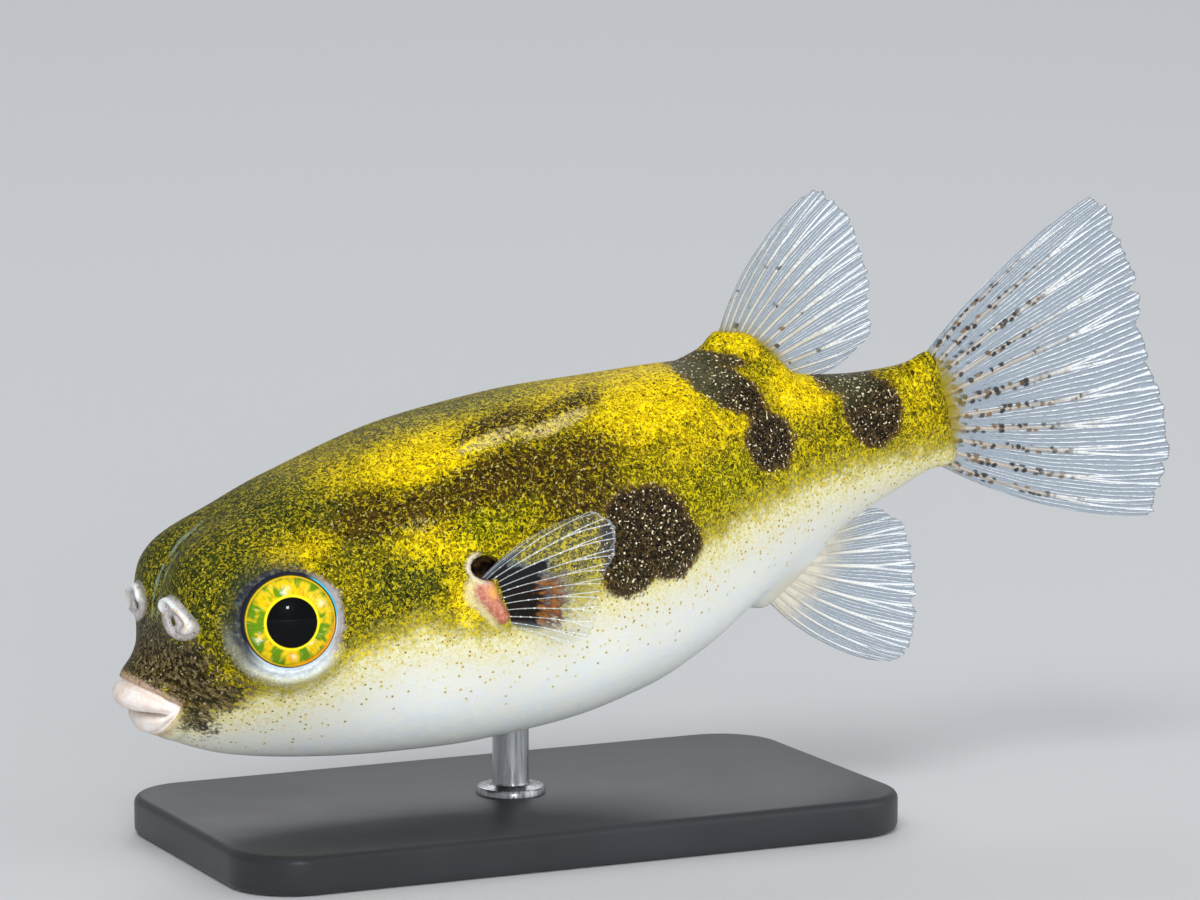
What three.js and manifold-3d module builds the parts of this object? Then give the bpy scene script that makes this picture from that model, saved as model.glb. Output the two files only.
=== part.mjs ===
// Young freshwater pufferfish, life size, as a still model on a low display stand.
// Millimetres, +Z up. The fish looks along -X and its left side faces -Y.
// The origin is the middle of the stand's underside.
import * as THREE from 'three';
import { mergeVertices } from 'three/addons/utils/BufferGeometryUtils.js';
import Module from 'manifold-3d';

const wasm = await Module();
wasm.setup();

// ---------------------------------------------------------------- driving dimensions
// Fish frame: x runs tailward from the front of the upper lip, z is up, y is across.
const NOSE_DOWN = THREE.MathUtils.degToRad(14.5);
const SEAM = 0.3; // clear gap between neighbouring pieces
const GILL_PLANE = 19.8; // end of the head, at the gill openings
const TAIL_PLANE = 47.1; // end of the trunk, behind the dorsal and anal fins
const SNOUT_X = 0.9;
const TAIL_END_X = 56.5; // end of the fleshy tail base

const STAND = { length: 43, width: 23, height: 2.4, corner: 4, chamfer: 0.5, rodRadius: 1.1 };
const BELLY_CLEARANCE = 3.2; // lowest skin above the top of the base
const LOWEST_SKIN = 4.75; // lowest skin below the upper lip's front, nose down
const SNOUT_TO_ORIGIN = 25.5; // how far ahead of the origin the upper lip's front is
const ROD_X = -0.4;

// Lines of the body, each a few [x, value] pairs joined smoothly.
const BACK_LINE = [[0.9, 0.95], [2.8, 2.5], [3.5, 3.9], [3.9, 5.2], [4.9, 6.75], [6.3, 7.7], [9, 8.45],
  [13, 9.35], [21, 10.2], [27, 9.9], [34, 8.9], [40, 7.85], [44, 6.35], [48, 4.45], [52, 3.45],
  [54.4, 3.2], [56.5, 3.75]];
const BELLY_LINE = [[0.9, 0.75], [1.5, 0.1], [1.9, -1.6], [2.15, -3.25], [3, -4.05], [5.8, -5.7],
  [10, -7.25], [15, -8.6], [20, -9.6], [28, -10.4], [31.5, -10.3], [36, -9.4], [40, -7.9],
  [44, -6.4], [48, -5.15], [52, -4.25], [54.5, -3.8], [56.5, -4.2]];
const HALF_WIDTH = [[0.9, 0.9], [1.5, 2.0], [2.2, 2.9], [3.2, 3.9], [4.2, 5.2], [5.4, 6.2], [7.5, 7.0],
  [10, 7.6], [15, 8.5], [21, 9.0], [27, 8.8], [33, 7.7], [39, 5.8], [45, 3.8], [51, 2.3], [56.5, 0.9]];
const WIDEST_LEVEL = [[0.9, 0.85], [1.5, 0.5], [2.2, -0.2], [3.4, 0.8], [5, 2.8], [7, 3.0], [10, 2.2],
  [15, 0.7], [22, -0.7], [30, -1.2], [38, -0.8], [46, -0.3], [56.5, -0.2]];
const TOP_SQUARENESS = [[0.9, 2.1], [3, 2.3], [4.3, 3.2], [6.5, 2.7], [10, 2.3], [16, 2.15], [56, 2]];
const BELLY_SQUARENESS = [[0.9, 2.1], [3, 2.0], [6, 1.9], [12, 2.1], [22, 2.25], [34, 2.05], [56, 2]];
const BROW_GROOVE = [[3, 0], [4.2, 0.7], [6, 0.5], [9, 0.1], [11, 0]]; // midline furrow of the forehead
const DORSAL_FOOT = [[39.6, 0], [41.2, 0.85], [42.5, 2.0], [44.2, 2.1], [45.2, 1.5], [46.6, 0]];
const ANAL_FOOT = [[39.8, 0], [41.6, 1.2], [44.4, 1.0], [45.6, 0.6], [47, 0]];
const FOOT_HALF_WIDTH = 1.25;
const GROOVE_HALF_WIDTH = 1.5;

const AROUND = 36; // faces around the body
const RING_STEP = { atSnout: 0.3, growth: 0.09, most: 1.6, least: 0.4 }; // least is a share of a step

// Eyes: a flattened ball in a slightly larger socket, tilted a little forwards and up.
const EYE = { x: 9.0, z: 2.75, radius: 3.15, depth: 2.0, sunk: 0.95, forward: 0.2, upward: 0.1 };

// Lips: two rolls that curve back round the mouth.
const UPPER_LIP = { radius: 0.72, path: [[2.75, 2.65, -1.35], [2.0, 2.25, -0.6], [1.1, 1.3, -0.18],
  [0.72, 0, -0.15]] };
const LOWER_LIP = { radius: 0.62, path: [[2.6, 2.0, -2.1], [1.7, 1.3, -2.05], [1.22, 0, -1.95]] };

// Nasal flaps: a pair of joined lobes each side of the snout's midline.
const FLAP = { y: 2.7, z: 4.05, lobe: [0.85, 1.2, 1.45], sunk: 0.35, spread: 0.95, stagger: 0.15,
  pit: 0.45, lean: 0.5 };

// Fins: rays run from the root line to the edge line. bow bends the first and the last ray.
const DORSAL = {
  root: [[41.9, 7.6], [43.6, 6.9], [45.6, 4.7]],
  edge: [[49.6, 15.1], [51.3, 15.2], [52.6, 13.4], [53.25, 11], [53, 8.5], [52.4, 5.8], [50.6, 4.6]],
  bow: [0.95, -0.35], rays: 13, rows: 4, rootThickness: 1.3, edgeThickness: 0.55,
};
const ANAL = {
  root: [[41.2, -7.4], [43.4, -6.6], [45.7, -5.3]],
  edge: [[48.6, -14.75], [49.9, -14.5], [50.9, -13], [51.6, -10.8], [52, -8.3], [51.8, -6.4],
    [50.3, -5.0]],
  bow: [-0.85, 0.4], rays: 11, rows: 4, rootThickness: 1.3, edgeThickness: 0.55,
};
const CAUDAL = {
  root: [[54.6, 2.4], [55.6, 0.8], [55.4, -1.2], [54.2, -2.9]],
  edge: [[69.6, 9.65], [70.6, 8.4], [71.15, 5.4], [71.45, 2.6], [71.2, -0.8], [71.5, -4.2],
    [71.3, -7.2], [70.3, -9.8], [69.0, -11.75]],
  bow: [0.75, -1.0], rays: 11, rows: 5, rootThickness: 1.5, edgeThickness: 0.55,
};
// The pectoral fin's own frame: first number outwards along the fin, second one up.
const PECTORAL = {
  root: [[-0.7, 1.4], [-1.0, 0.2], [-0.7, -1.2]],
  edge: [[5.3, 4.0], [6.8, 4.1], [7.85, 3.0], [7.5, 1.6], [6.7, 0.4], [6.2, -0.8], [5.6, -2.1],
    [4.7, -3.2], [3.2, -3.3]],
  bow: [-0.25, 0.15], rays: 12, rows: 4, rootThickness: 1.5, edgeThickness: 0.55,
};
const PECTORAL_ROOT = { x: 20.9, y: 8.6, z: 0 };
const PECTORAL_SPREAD = THREE.MathUtils.degToRad(30); // how far the fin stands off the flank
const RAY_RELIEF = 0.2; // share of a fin's thickness that the web between rays gives up
const THINNEST_WEB = 0.5;
const THINNING = 0.6; // below 1, a fin thins quickly as it leaves its root

// ---------------------------------------------------------------- materials
const material = (name, color, roughness, metalness = 0) =>
  new THREE.MeshStandardMaterial({ name, color, roughness, metalness });
const OLIVE_SKIN = material('olive skin', 0x9a8f1c, 0.45);
const LIP_SKIN = material('lip', 0xd9bfb4, 0.4);
const FLAP_SKIN = material('nasal flap', 0xb9bcb6, 0.45);
const FIN_WEB = material('fin web', 0xc9d2da, 0.35);
const EYE_GLOSS = material('eye', 0xc8a400, 0.1);
const BASE_PAINT = material('stand base', 0x24262a, 0.4);
const ROD_STEEL = material('stand rod', 0xb4b7ba, 0.3, 1);

// ---------------------------------------------------------------- solids and meshes
function toSolid(geometry) {
  const plain = geometry.clone();
  plain.deleteAttribute('normal');
  plain.deleteAttribute('uv');
  const merged = mergeVertices(plain, 1e-4);
  const vertProperties = Float32Array.from(merged.attributes.position.array);
  const triVerts = Uint32Array.from(merged.index.array);
  return new wasm.Manifold(new wasm.Mesh({ numProp: 3, vertProperties, triVerts }));
}

function toGeometry(solid) {
  const { vertProperties, triVerts } = solid.getMesh();
  const geometry = new THREE.BufferGeometry();
  geometry.setAttribute('position', new THREE.BufferAttribute(vertProperties, 3));
  geometry.setIndex(new THREE.BufferAttribute(triVerts, 1));
  geometry.computeVertexNormals();
  return geometry;
}

// A cut can leave a crumb: the piece is the largest of what is left.
function mainPiece(solid) {
  const pieces = solid.decompose();
  return pieces.reduce((best, piece) => (piece.volume() > best.volume() ? piece : best));
}

function named(name, geometry, look) {
  const mesh = new THREE.Mesh(geometry, look);
  mesh.name = name;
  return mesh;
}

// ---------------------------------------------------------------- smooth lines
// A curve through [x, value] pairs that never swings past them.
function lineThrough(pairs) {
  const slope = pairs.slice(1).map(([x, v], i) => (v - pairs[i][1]) / (x - pairs[i][0]));
  const tangent = pairs.map((_, i) => {
    if (i === 0) return slope[0];
    if (i === slope.length) return slope[i - 1];
    const [before, after] = [slope[i - 1], slope[i]];
    return before * after <= 0 ? 0 : (2 * before * after) / (before + after);
  });
  return (x) => {
    if (x <= pairs[0][0]) return pairs[0][1];
    if (x >= pairs.at(-1)[0]) return pairs.at(-1)[1];
    const i = pairs.findIndex((_, k) => x < pairs[k + 1][0]);
    const width = pairs[i + 1][0] - pairs[i][0];
    const t = (x - pairs[i][0]) / width;
    const rise = pairs[i + 1][1] - pairs[i][1];
    const bend = t * (1 - t) * width;
    const lean = tangent[i] * (1 - t) - tangent[i + 1] * t;
    return pairs[i][1] + rise * t * t * (3 - 2 * t) + bend * lean;
  };
}

const backAt = lineThrough(BACK_LINE);
const bellyAt = lineThrough(BELLY_LINE);
const halfWidthAt = lineThrough(HALF_WIDTH);
const widestAt = lineThrough(WIDEST_LEVEL);
const topSquarenessAt = lineThrough(TOP_SQUARENESS);
const bellySquarenessAt = lineThrough(BELLY_SQUARENESS);
const grooveAt = lineThrough(BROW_GROOVE);
const dorsalFootAt = lineThrough(DORSAL_FOOT);
const analFootAt = lineThrough(ANAL_FOOT);

// ---------------------------------------------------------------- body
// A point of the skin at station x. The angle starts at the left flank and goes over the back.
function skinPoint(x, angle) {
  const up = Math.sin(angle);
  const upper = up >= 0;
  const power = 2 / (upper ? topSquarenessAt(x) : bellySquarenessAt(x));
  const across = Math.cos(angle);
  const y = -Math.sign(across) * halfWidthAt(x) * Math.abs(across) ** power;
  const reach = upper ? backAt(x) - widestAt(x) : widestAt(x) - bellyAt(x);
  const flat = widestAt(x) + Math.sign(up) * reach * Math.abs(up) ** power;
  const ridge = Math.exp(-((y / FOOT_HALF_WIDTH) ** 2));
  const furrow = Math.exp(-((y / GROOVE_HALF_WIDTH) ** 2));
  const raised = upper ? dorsalFootAt(x) * ridge - grooveAt(x) * furrow : -analFootAt(x) * ridge;
  return new THREE.Vector3(x, y, flat + raised);
}

// Half width of the upper body at a station and a height.
function halfWidthAtHeight(x, z) {
  const share = (z - widestAt(x)) / (backAt(x) - widestAt(x));
  const power = topSquarenessAt(x);
  return share < 1 ? halfWidthAt(x) * (1 - Math.max(share, 0) ** power) ** (1 / power) : 0;
}

// How far back the face lies, straight behind a point ahead of it.
function faceAt(y, z) {
  const fineStep = 0.02;
  let x = SNOUT_X;
  while (halfWidthAtHeight(x, z) < Math.abs(y)) {
    x += fineStep;
  }
  return x;
}

function stations(from, to) {
  const places = [from];
  while (places.at(-1) < to) {
    const x = places.at(-1);
    const step = Math.min(RING_STEP.atSnout + RING_STEP.growth * x, RING_STEP.most);
    places.push(x + step > to - RING_STEP.least * step ? to : x + step);
  }
  return places;
}

// Closed length of the body between two stations.
function bodyLength(from, to) {
  const places = stations(from, to);
  const points = [];
  for (const x of places) {
    for (let i = 0; i < AROUND; i += 1) {
      points.push(skinPoint(x, (2 * Math.PI * i) / AROUND));
    }
  }
  const faces = [];
  for (let ring = 0; ring < places.length - 1; ring += 1) {
    for (let i = 0; i < AROUND; i += 1) {
      const a = ring * AROUND + i;
      const b = ring * AROUND + ((i + 1) % AROUND);
      faces.push(a, a + AROUND, b, b, a + AROUND, b + AROUND);
    }
  }
  for (const [ring, x] of [[0, from], [places.length - 1, to]]) {
    const middle = points.length;
    points.push(new THREE.Vector3(x, 0, widestAt(x)));
    for (let i = 0; i < AROUND; i += 1) {
      const a = ring * AROUND + i;
      const b = ring * AROUND + ((i + 1) % AROUND);
      faces.push(...(ring === 0 ? [a, b, middle] : [b, a, middle]));
    }
  }
  const geometry = new THREE.BufferGeometry().setFromPoints(points);
  geometry.setIndex(faces);
  return geometry;
}

// The same solid, grown outwards by a gap.
function grown(geometry, gap) {
  const plain = geometry.clone();
  plain.computeVertexNormals();
  const { position, normal } = plain.attributes;
  for (let i = 0; i < position.count; i += 1) {
    position.setXYZ(i, position.getX(i) + gap * normal.getX(i), position.getY(i) + gap * normal.getY(i),
      position.getZ(i) + gap * normal.getZ(i));
  }
  return plain;
}

const wholeBody = bodyLength(SNOUT_X, TAIL_END_X);
const bodyAndGap = toSolid(grown(wholeBody, SEAM));

// ---------------------------------------------------------------- eyes
function eyeBall(side, gap) {
  const ball = new THREE.SphereGeometry(1, 16, 10);
  const outwards = new THREE.Vector3(-EYE.forward, side, EYE.upward).normalize();
  ball.rotateX(Math.PI / 2);
  ball.scale(EYE.radius + gap, EYE.radius + gap, EYE.depth + gap);
  ball.applyQuaternion(new THREE.Quaternion().setFromUnitVectors(new THREE.Vector3(0, 0, 1), outwards));
  const flank = halfWidthAtHeight(EYE.x, EYE.z);
  const centre = new THREE.Vector3(EYE.x, side * flank, EYE.z).addScaledVector(outwards, -EYE.sunk);
  return ball.translate(...centre);
}

// ---------------------------------------------------------------- mouth and nose
function lipRoll({ radius, path }, gap) {
  const half = path.map(([x, y, z]) => new THREE.Vector3(x, y, z));
  const other = half.slice(0, -1).reverse().map((p) => new THREE.Vector3(p.x, -p.y, p.z));
  const route = new THREE.CatmullRomCurve3([...half, ...other]);
  const section = new THREE.Shape().absarc(0, 0, radius + gap, 0, 2 * Math.PI);
  const options = { steps: 16, extrudePath: route, curveSegments: 5, bevelEnabled: false };
  return toSolid(new THREE.ExtrudeGeometry(section, options));
}

function nasalFlap(side, gap) {
  const lobe = (across, up) => {
    const ball = new THREE.SphereGeometry(1, 10, 7);
    ball.scale(...FLAP.lobe.map((radius) => radius + gap));
    ball.rotateY(FLAP.lean);
    const [y, z] = [FLAP.y + across, FLAP.z + up];
    return toSolid(ball.translate(faceAt(y, z) + FLAP.sunk, side * y, z));
  };
  return lobe(-FLAP.spread, FLAP.stagger).add(lobe(FLAP.spread, -FLAP.stagger));
}

function pittedFlap(side) {
  const pit = new THREE.SphereGeometry(FLAP.pit, 8, 6);
  const front = faceAt(FLAP.y, FLAP.z) + FLAP.sunk - FLAP.lobe[0];
  pit.translate(front, side * FLAP.y, FLAP.z + FLAP.pit);
  return nasalFlap(side, 0).subtract(toSolid(pit));
}

// ---------------------------------------------------------------- fins
// A fan of rays in the plane of the first two numbers, as thick as its rays.
function fan({ root, edge, bow, rays, rows, rootThickness, edgeThickness }) {
  const rootLine = new THREE.SplineCurve(root.map(([u, v]) => new THREE.Vector2(u, v)));
  const edgeLine = new THREE.SplineCurve(edge.map(([u, v]) => new THREE.Vector2(u, v)));
  const columns = 2 * rays - 1;
  const faces = [];
  const points = [];
  for (const side of [-1, 1]) {
    for (let i = 0; i < columns; i += 1) {
      const s = i / (columns - 1);
      const from = rootLine.getPoint(s);
      const along = edgeLine.getPoint(s).sub(from);
      const across = new THREE.Vector2(-along.y, along.x).normalize();
      const bend = THREE.MathUtils.lerp(bow[0], bow[1], s);
      for (let j = 0; j <= rows; j += 1) {
        const r = j / rows;
        const place = from.clone().addScaledVector(along, r);
        place.addScaledVector(across, 4 * r * (1 - r) * bend);
        const web = i % 2 === 1 ? 1 - RAY_RELIEF : 1;
        const full = THREE.MathUtils.lerp(rootThickness, edgeThickness, r ** THINNING) * web;
        points.push(new THREE.Vector3(place.x, side * Math.max(full, THINNEST_WEB) / 2, place.y));
      }
    }
  }
  const at = (side, i, j) => (side * columns + i) * (rows + 1) + j;
  const quad = (a, b, c, d) => faces.push(a, b, c, a, c, d);
  for (let i = 0; i < columns - 1; i += 1) {
    for (let j = 0; j < rows; j += 1) {
      quad(at(0, i, j), at(0, i, j + 1), at(0, i + 1, j + 1), at(0, i + 1, j));
      quad(at(1, i, j), at(1, i + 1, j), at(1, i + 1, j + 1), at(1, i, j + 1));
    }
    quad(at(0, i, 0), at(0, i + 1, 0), at(1, i + 1, 0), at(1, i, 0));
    quad(at(0, i, rows), at(1, i, rows), at(1, i + 1, rows), at(0, i + 1, rows));
  }
  for (let j = 0; j < rows; j += 1) {
    quad(at(0, 0, j), at(1, 0, j), at(1, 0, j + 1), at(0, 0, j + 1));
    const last = columns - 1;
    quad(at(0, last, j), at(0, last, j + 1), at(1, last, j + 1), at(1, last, j));
  }
  const geometry = new THREE.BufferGeometry().setFromPoints(points);
  geometry.setIndex(faces);
  return geometry;
}

// A solid whose faces point outwards whichever way its fan was drawn.
function facingOut(geometry) {
  const turned = geometry.clone();
  const { index, attributes: { position } } = turned;
  const [a, b, c] = [0, 1, 2].map(() => new THREE.Vector3());
  let volume = 0;
  for (let i = 0; i < index.count; i += 3) {
    a.fromBufferAttribute(position, index.getX(i));
    b.fromBufferAttribute(position, index.getX(i + 1));
    c.fromBufferAttribute(position, index.getX(i + 2));
    volume += a.dot(b.cross(c));
  }
  if (volume < 0) {
    turned.setIndex(Array.from(index.array).reverse());
  }
  return turned;
}

const finSolid = (geometry) => mainPiece(toSolid(facingOut(geometry)).subtract(bodyAndGap));

function pectoralFin(side) {
  const geometry = fan(PECTORAL);
  geometry.rotateZ(-PECTORAL_SPREAD);
  geometry.translate(PECTORAL_ROOT.x, -PECTORAL_ROOT.y, PECTORAL_ROOT.z);
  if (side > 0) {
    geometry.scale(1, -1, 1);
  }
  return finSolid(geometry);
}

// ---------------------------------------------------------------- the fish
const fish = new THREE.Group();
fish.rotation.y = -NOSE_DOWN;
fish.position.set(-SNOUT_TO_ORIGIN, 0, STAND.height + BELLY_CLEARANCE + LOWEST_SKIN);

const eyeSockets = toSolid(eyeBall(-1, SEAM)).add(toSolid(eyeBall(1, SEAM)));
const flapSeats = nasalFlap(-1, SEAM).add(nasalFlap(1, SEAM));
const head = toSolid(bodyLength(SNOUT_X, GILL_PLANE)).subtract(eyeSockets).subtract(flapSeats);
const upperLip = mainPiece(lipRoll(UPPER_LIP, 0).subtract(bodyAndGap));
const lowerLip = mainPiece(lipRoll(LOWER_LIP, 0).subtract(lipRoll(UPPER_LIP, SEAM)).subtract(bodyAndGap));

fish.add(named('head', toGeometry(head), OLIVE_SKIN));
fish.add(named('trunk', bodyLength(GILL_PLANE + SEAM, TAIL_PLANE), OLIVE_SKIN));
fish.add(named('tail', bodyLength(TAIL_PLANE + SEAM, TAIL_END_X), OLIVE_SKIN));
fish.add(named('upper_lip', toGeometry(upperLip), LIP_SKIN));
fish.add(named('lower_lip', toGeometry(lowerLip), LIP_SKIN));
for (const [sideName, side] of [['left', -1], ['right', 1]]) {
  fish.add(named(`eye_${sideName}`, eyeBall(side, 0), EYE_GLOSS));
  fish.add(named(`nostril_${sideName}`, toGeometry(pittedFlap(side)), FLAP_SKIN));
  fish.add(named(`pectoral_fin_${sideName}`, toGeometry(pectoralFin(side)), FIN_WEB));
}
fish.add(named('dorsal_fin', toGeometry(finSolid(fan(DORSAL))), FIN_WEB));
fish.add(named('anal_fin', toGeometry(finSolid(fan(ANAL))), FIN_WEB));
fish.add(named('caudal_fin', toGeometry(finSolid(fan(CAUDAL))), FIN_WEB));

// ---------------------------------------------------------------- the stand
function standBase() {
  const { length, width, height, corner, chamfer } = STAND;
  const [x, y, r] = [length / 2 - chamfer, width / 2 - chamfer, corner - chamfer];
  const outline = new THREE.Shape();
  outline.moveTo(x - r, -y);
  outline.absarc(x - r, -y + r, r, -Math.PI / 2, 0);
  outline.absarc(x - r, y - r, r, 0, Math.PI / 2);
  outline.absarc(-x + r, y - r, r, Math.PI / 2, Math.PI);
  outline.absarc(-x + r, -y + r, r, Math.PI, 1.5 * Math.PI);
  const bevel = { bevelThickness: chamfer, bevelSize: chamfer, bevelSegments: 1, curveSegments: 4 };
  const slab = new THREE.ExtrudeGeometry(outline, { depth: height - 2 * chamfer, ...bevel });
  return slab.translate(0, 0, chamfer);
}

function standRod() {
  const tall = BELLY_CLEARANCE + 2 * LOWEST_SKIN;
  const rod = new THREE.CylinderGeometry(STAND.rodRadius, STAND.rodRadius, tall, 24);
  rod.rotateX(Math.PI / 2);
  rod.translate(ROD_X, 0, STAND.height + SEAM + tall / 2);
  fish.updateMatrixWorld();
  const above = grown(wholeBody, SEAM).applyMatrix4(fish.matrixWorld);
  return mainPieceBelow(toSolid(rod).subtract(toSolid(above)));
}

// Of a rod cut through by the body, the length that stands on the base.
function mainPieceBelow(solid) {
  const pieces = solid.decompose();
  return pieces.reduce((low, piece) => (piece.boundingBox().min[2] < low.boundingBox().min[2] ? piece : low));
}

const model = new THREE.Group();
model.add(fish);
model.add(named('stand_base', standBase(), BASE_PAINT));
model.add(named('stand_rod', toGeometry(standRod()), ROD_STEEL));

export default model;
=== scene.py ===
"""Young freshwater pufferfish, life size, as a still model on a low display stand.

Sizes are millimetres unless a name says otherwise; meshes are written in metres. In the fish's own
frame x runs tailward from the front of the upper lip, z is up, and the left side is at negative y.
"""
import math

import bpy
import numpy as np
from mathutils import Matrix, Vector


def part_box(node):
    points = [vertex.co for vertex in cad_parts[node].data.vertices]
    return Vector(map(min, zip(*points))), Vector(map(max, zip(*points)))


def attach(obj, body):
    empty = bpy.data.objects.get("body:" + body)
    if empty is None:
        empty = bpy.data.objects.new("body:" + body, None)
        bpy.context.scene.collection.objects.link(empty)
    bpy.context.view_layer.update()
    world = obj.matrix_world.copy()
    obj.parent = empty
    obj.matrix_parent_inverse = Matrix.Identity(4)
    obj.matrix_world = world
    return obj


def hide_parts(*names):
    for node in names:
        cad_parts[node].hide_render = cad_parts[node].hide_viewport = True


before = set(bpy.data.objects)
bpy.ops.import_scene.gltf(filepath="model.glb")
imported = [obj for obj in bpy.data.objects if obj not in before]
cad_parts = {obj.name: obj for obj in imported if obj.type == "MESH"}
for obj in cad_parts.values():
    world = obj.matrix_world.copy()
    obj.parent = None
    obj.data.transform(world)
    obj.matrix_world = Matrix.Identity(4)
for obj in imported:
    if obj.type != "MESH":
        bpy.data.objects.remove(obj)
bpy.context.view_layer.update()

bl_info = {
    "name": "Freshwater Pufferfish",
    "version": (1, 0, 0),
    "blender": (4, 5, 0),
    "location": "3D View > Sidebar > Pufferfish",
    "description": "Dresses the pufferfish model: skin, eyes, nasal flaps, fins, stand and stage",
    "category": "Object",
}

MM = 0.001
LEFT, RIGHT = -1, 1
SIDES = {"left": LEFT, "right": RIGHT}

# ------------------------------------------------------------------ the fish's place on its stand
NOSE_DOWN = math.radians(14.5)
SNOUT_AHEAD = 25.5  # how far ahead of the origin the upper lip's front is
SNOUT_HEIGHT = 10.35  # how high it is

# ------------------------------------------------------------------ lines of the body
SNOUT_X = 0.9
TAIL_END_X = 56.5
BACK_LINE = [(0.9, 0.95), (2.8, 2.5), (3.5, 3.9), (3.9, 5.2), (4.9, 6.75), (6.3, 7.7), (9, 8.45),
             (13, 9.35), (21, 10.2), (27, 9.9), (34, 8.9), (40, 7.85), (44, 6.35), (48, 4.45),
             (52, 3.45), (54.4, 3.2), (56.5, 3.75)]
BELLY_LINE = [(0.9, 0.75), (1.5, 0.1), (1.9, -1.6), (2.15, -3.25), (3, -4.05), (5.8, -5.7),
              (10, -7.25), (15, -8.6), (20, -9.6), (28, -10.4), (31.5, -10.3), (36, -9.4),
              (40, -7.9), (44, -6.4), (48, -5.15), (52, -4.25), (54.5, -3.8), (56.5, -4.2)]
HALF_WIDTH = [(0.9, 0.9), (1.5, 2.0), (2.2, 2.9), (3.2, 3.9), (4.2, 5.2), (5.4, 6.2), (7.5, 7.0),
              (10, 7.6), (15, 8.5), (21, 9.0), (27, 8.8), (33, 7.7), (39, 5.8), (45, 3.8),
              (51, 2.3), (56.5, 0.9)]
WIDEST_LEVEL = [(0.9, 0.85), (1.5, 0.5), (2.2, -0.2), (3.4, 0.8), (5, 2.8), (7, 3.0), (10, 2.2),
                (15, 0.7), (22, -0.7), (30, -1.2), (38, -0.8), (46, -0.3), (56.5, -0.2)]
TOP_SQUARENESS = [(0.9, 2.1), (3, 2.3), (4.3, 3.2), (6.5, 2.7), (10, 2.3), (16, 2.15), (56, 2)]
BELLY_SQUARENESS = [(0.9, 2.1), (3, 2.0), (6, 1.9), (12, 2.1), (22, 2.25), (34, 2.05), (56, 2)]
BROW_GROOVE = [(3, 0), (4.2, 0.7), (6, 0.5), (9, 0.1), (11, 0)]
DORSAL_FOOT = [(39.6, 0), (41.2, 0.85), (42.5, 2.0), (44.2, 2.1), (45.2, 1.5), (46.6, 0)]
ANAL_FOOT = [(39.8, 0), (41.6, 1.2), (44.4, 1.0), (45.6, 0.6), (47, 0)]
FOOT_HALF_WIDTH = 1.25
GROOVE_HALF_WIDTH = 1.5

# ------------------------------------------------------------------ mouth
# Rings from inside the mouth over the lips to the face: where each crosses the midline above
# (x, z), the mouth's corner (x, y, z) and the midline below (x, z), and the rings up to the next.
MOUTH_RINGS = [
    ((3.9, -1.25), (3.9, 0.3, -1.3), (3.9, -1.4), 3),
    ((3.3, -0.85), (3.4, 1.3, -1.35), (3.4, -1.8), 5),
    ((1.9, -0.5), (2.8, 1.85, -1.45), (2.2, -2.0), 5),
    ((0.9, -0.95), (2.5, 2.05, -1.5), (1.5, -1.5), 5),
    ((0.25, -0.85), (2.15, 2.3, -1.55), (1.0, -1.5), 7),
    ((0.0, -0.15), (2.0, 2.7, -1.45), (0.72, -1.9), 7),
    ((0.36, 0.44), (2.35, 3.02, -1.3), (0.85, -2.45), 6),
    ((0.85, 0.5), (2.72, 3.0, -1.2), (1.25, -2.68), 4),
    ((0.8, 0.82), (2.75, 3.2, -1.05), (1.42, -2.92), 5),
    ((1.15, 1.15), (3.0, 3.5, -0.6), (2.1, -3.42), 8),
]
FACE_START = (1.6, 3.6, 3.0)  # station where the face begins: above, at the side, below
FACE_END = 8.0
FACE_RINGS = 62
FACE_SAMPLES = 240
FACE_STEP = 0.02
HEAD_END = 12.6
HEAD_STEP = 0.1  # from ring to ring along the head
LONGEST_STEP = 0.37
STEP_GROWTH = 0.0096  # how much longer the steps get for each millimetre behind the head
TAIL_ROUNDING = 1.3  # length over which the tail base rounds off
TAIL_ROUND_RINGS = 8
COLUMNS = 280
FLANK_CROWDING = 0.32  # how much closer the columns are at the flanks

# ------------------------------------------------------------------ eyes
EYE = {"x": 9.0, "z": 2.75, "radius": 3.15, "depth": 2.0, "sunk": 0.95, "forward": 0.2, "upward": 0.1}
EYE_RINGS = 56
EYE_COLUMNS = 128
EYE_MARGIN = 0.03  # how much the eye lies inside its solid
ORBIT_LEVEL = 0.93  # how far out the skin is lifted round the eye
RING_SHIFT = 0.16  # how far ahead of the eye's axis the skin's ring round it is centred
IRIS_GLINTS = [(1.9, 0.6, 0.3), (0.1, 1.85, 0.35), (-0.35, -2.0, 0.22), (0.75, -1.35, 0.22),
               (-2.1, -0.5, 0.25)]  # place tailward and up from the pupil's middle, and size

# ------------------------------------------------------------------ nasal flaps
FLAP = {"y": 3.3, "z": 4.0, "across": 2.1, "up": 1.3, "taper": 0.18, "droop": 0.35, "mound": 0.3,
        "rim": 0.34, "pit": 0.3, "lumps": 0.05, "foot": -0.45, "lean": 0.25}
FLAP_RINGS = 48
FLAP_COLUMNS = 72

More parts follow.
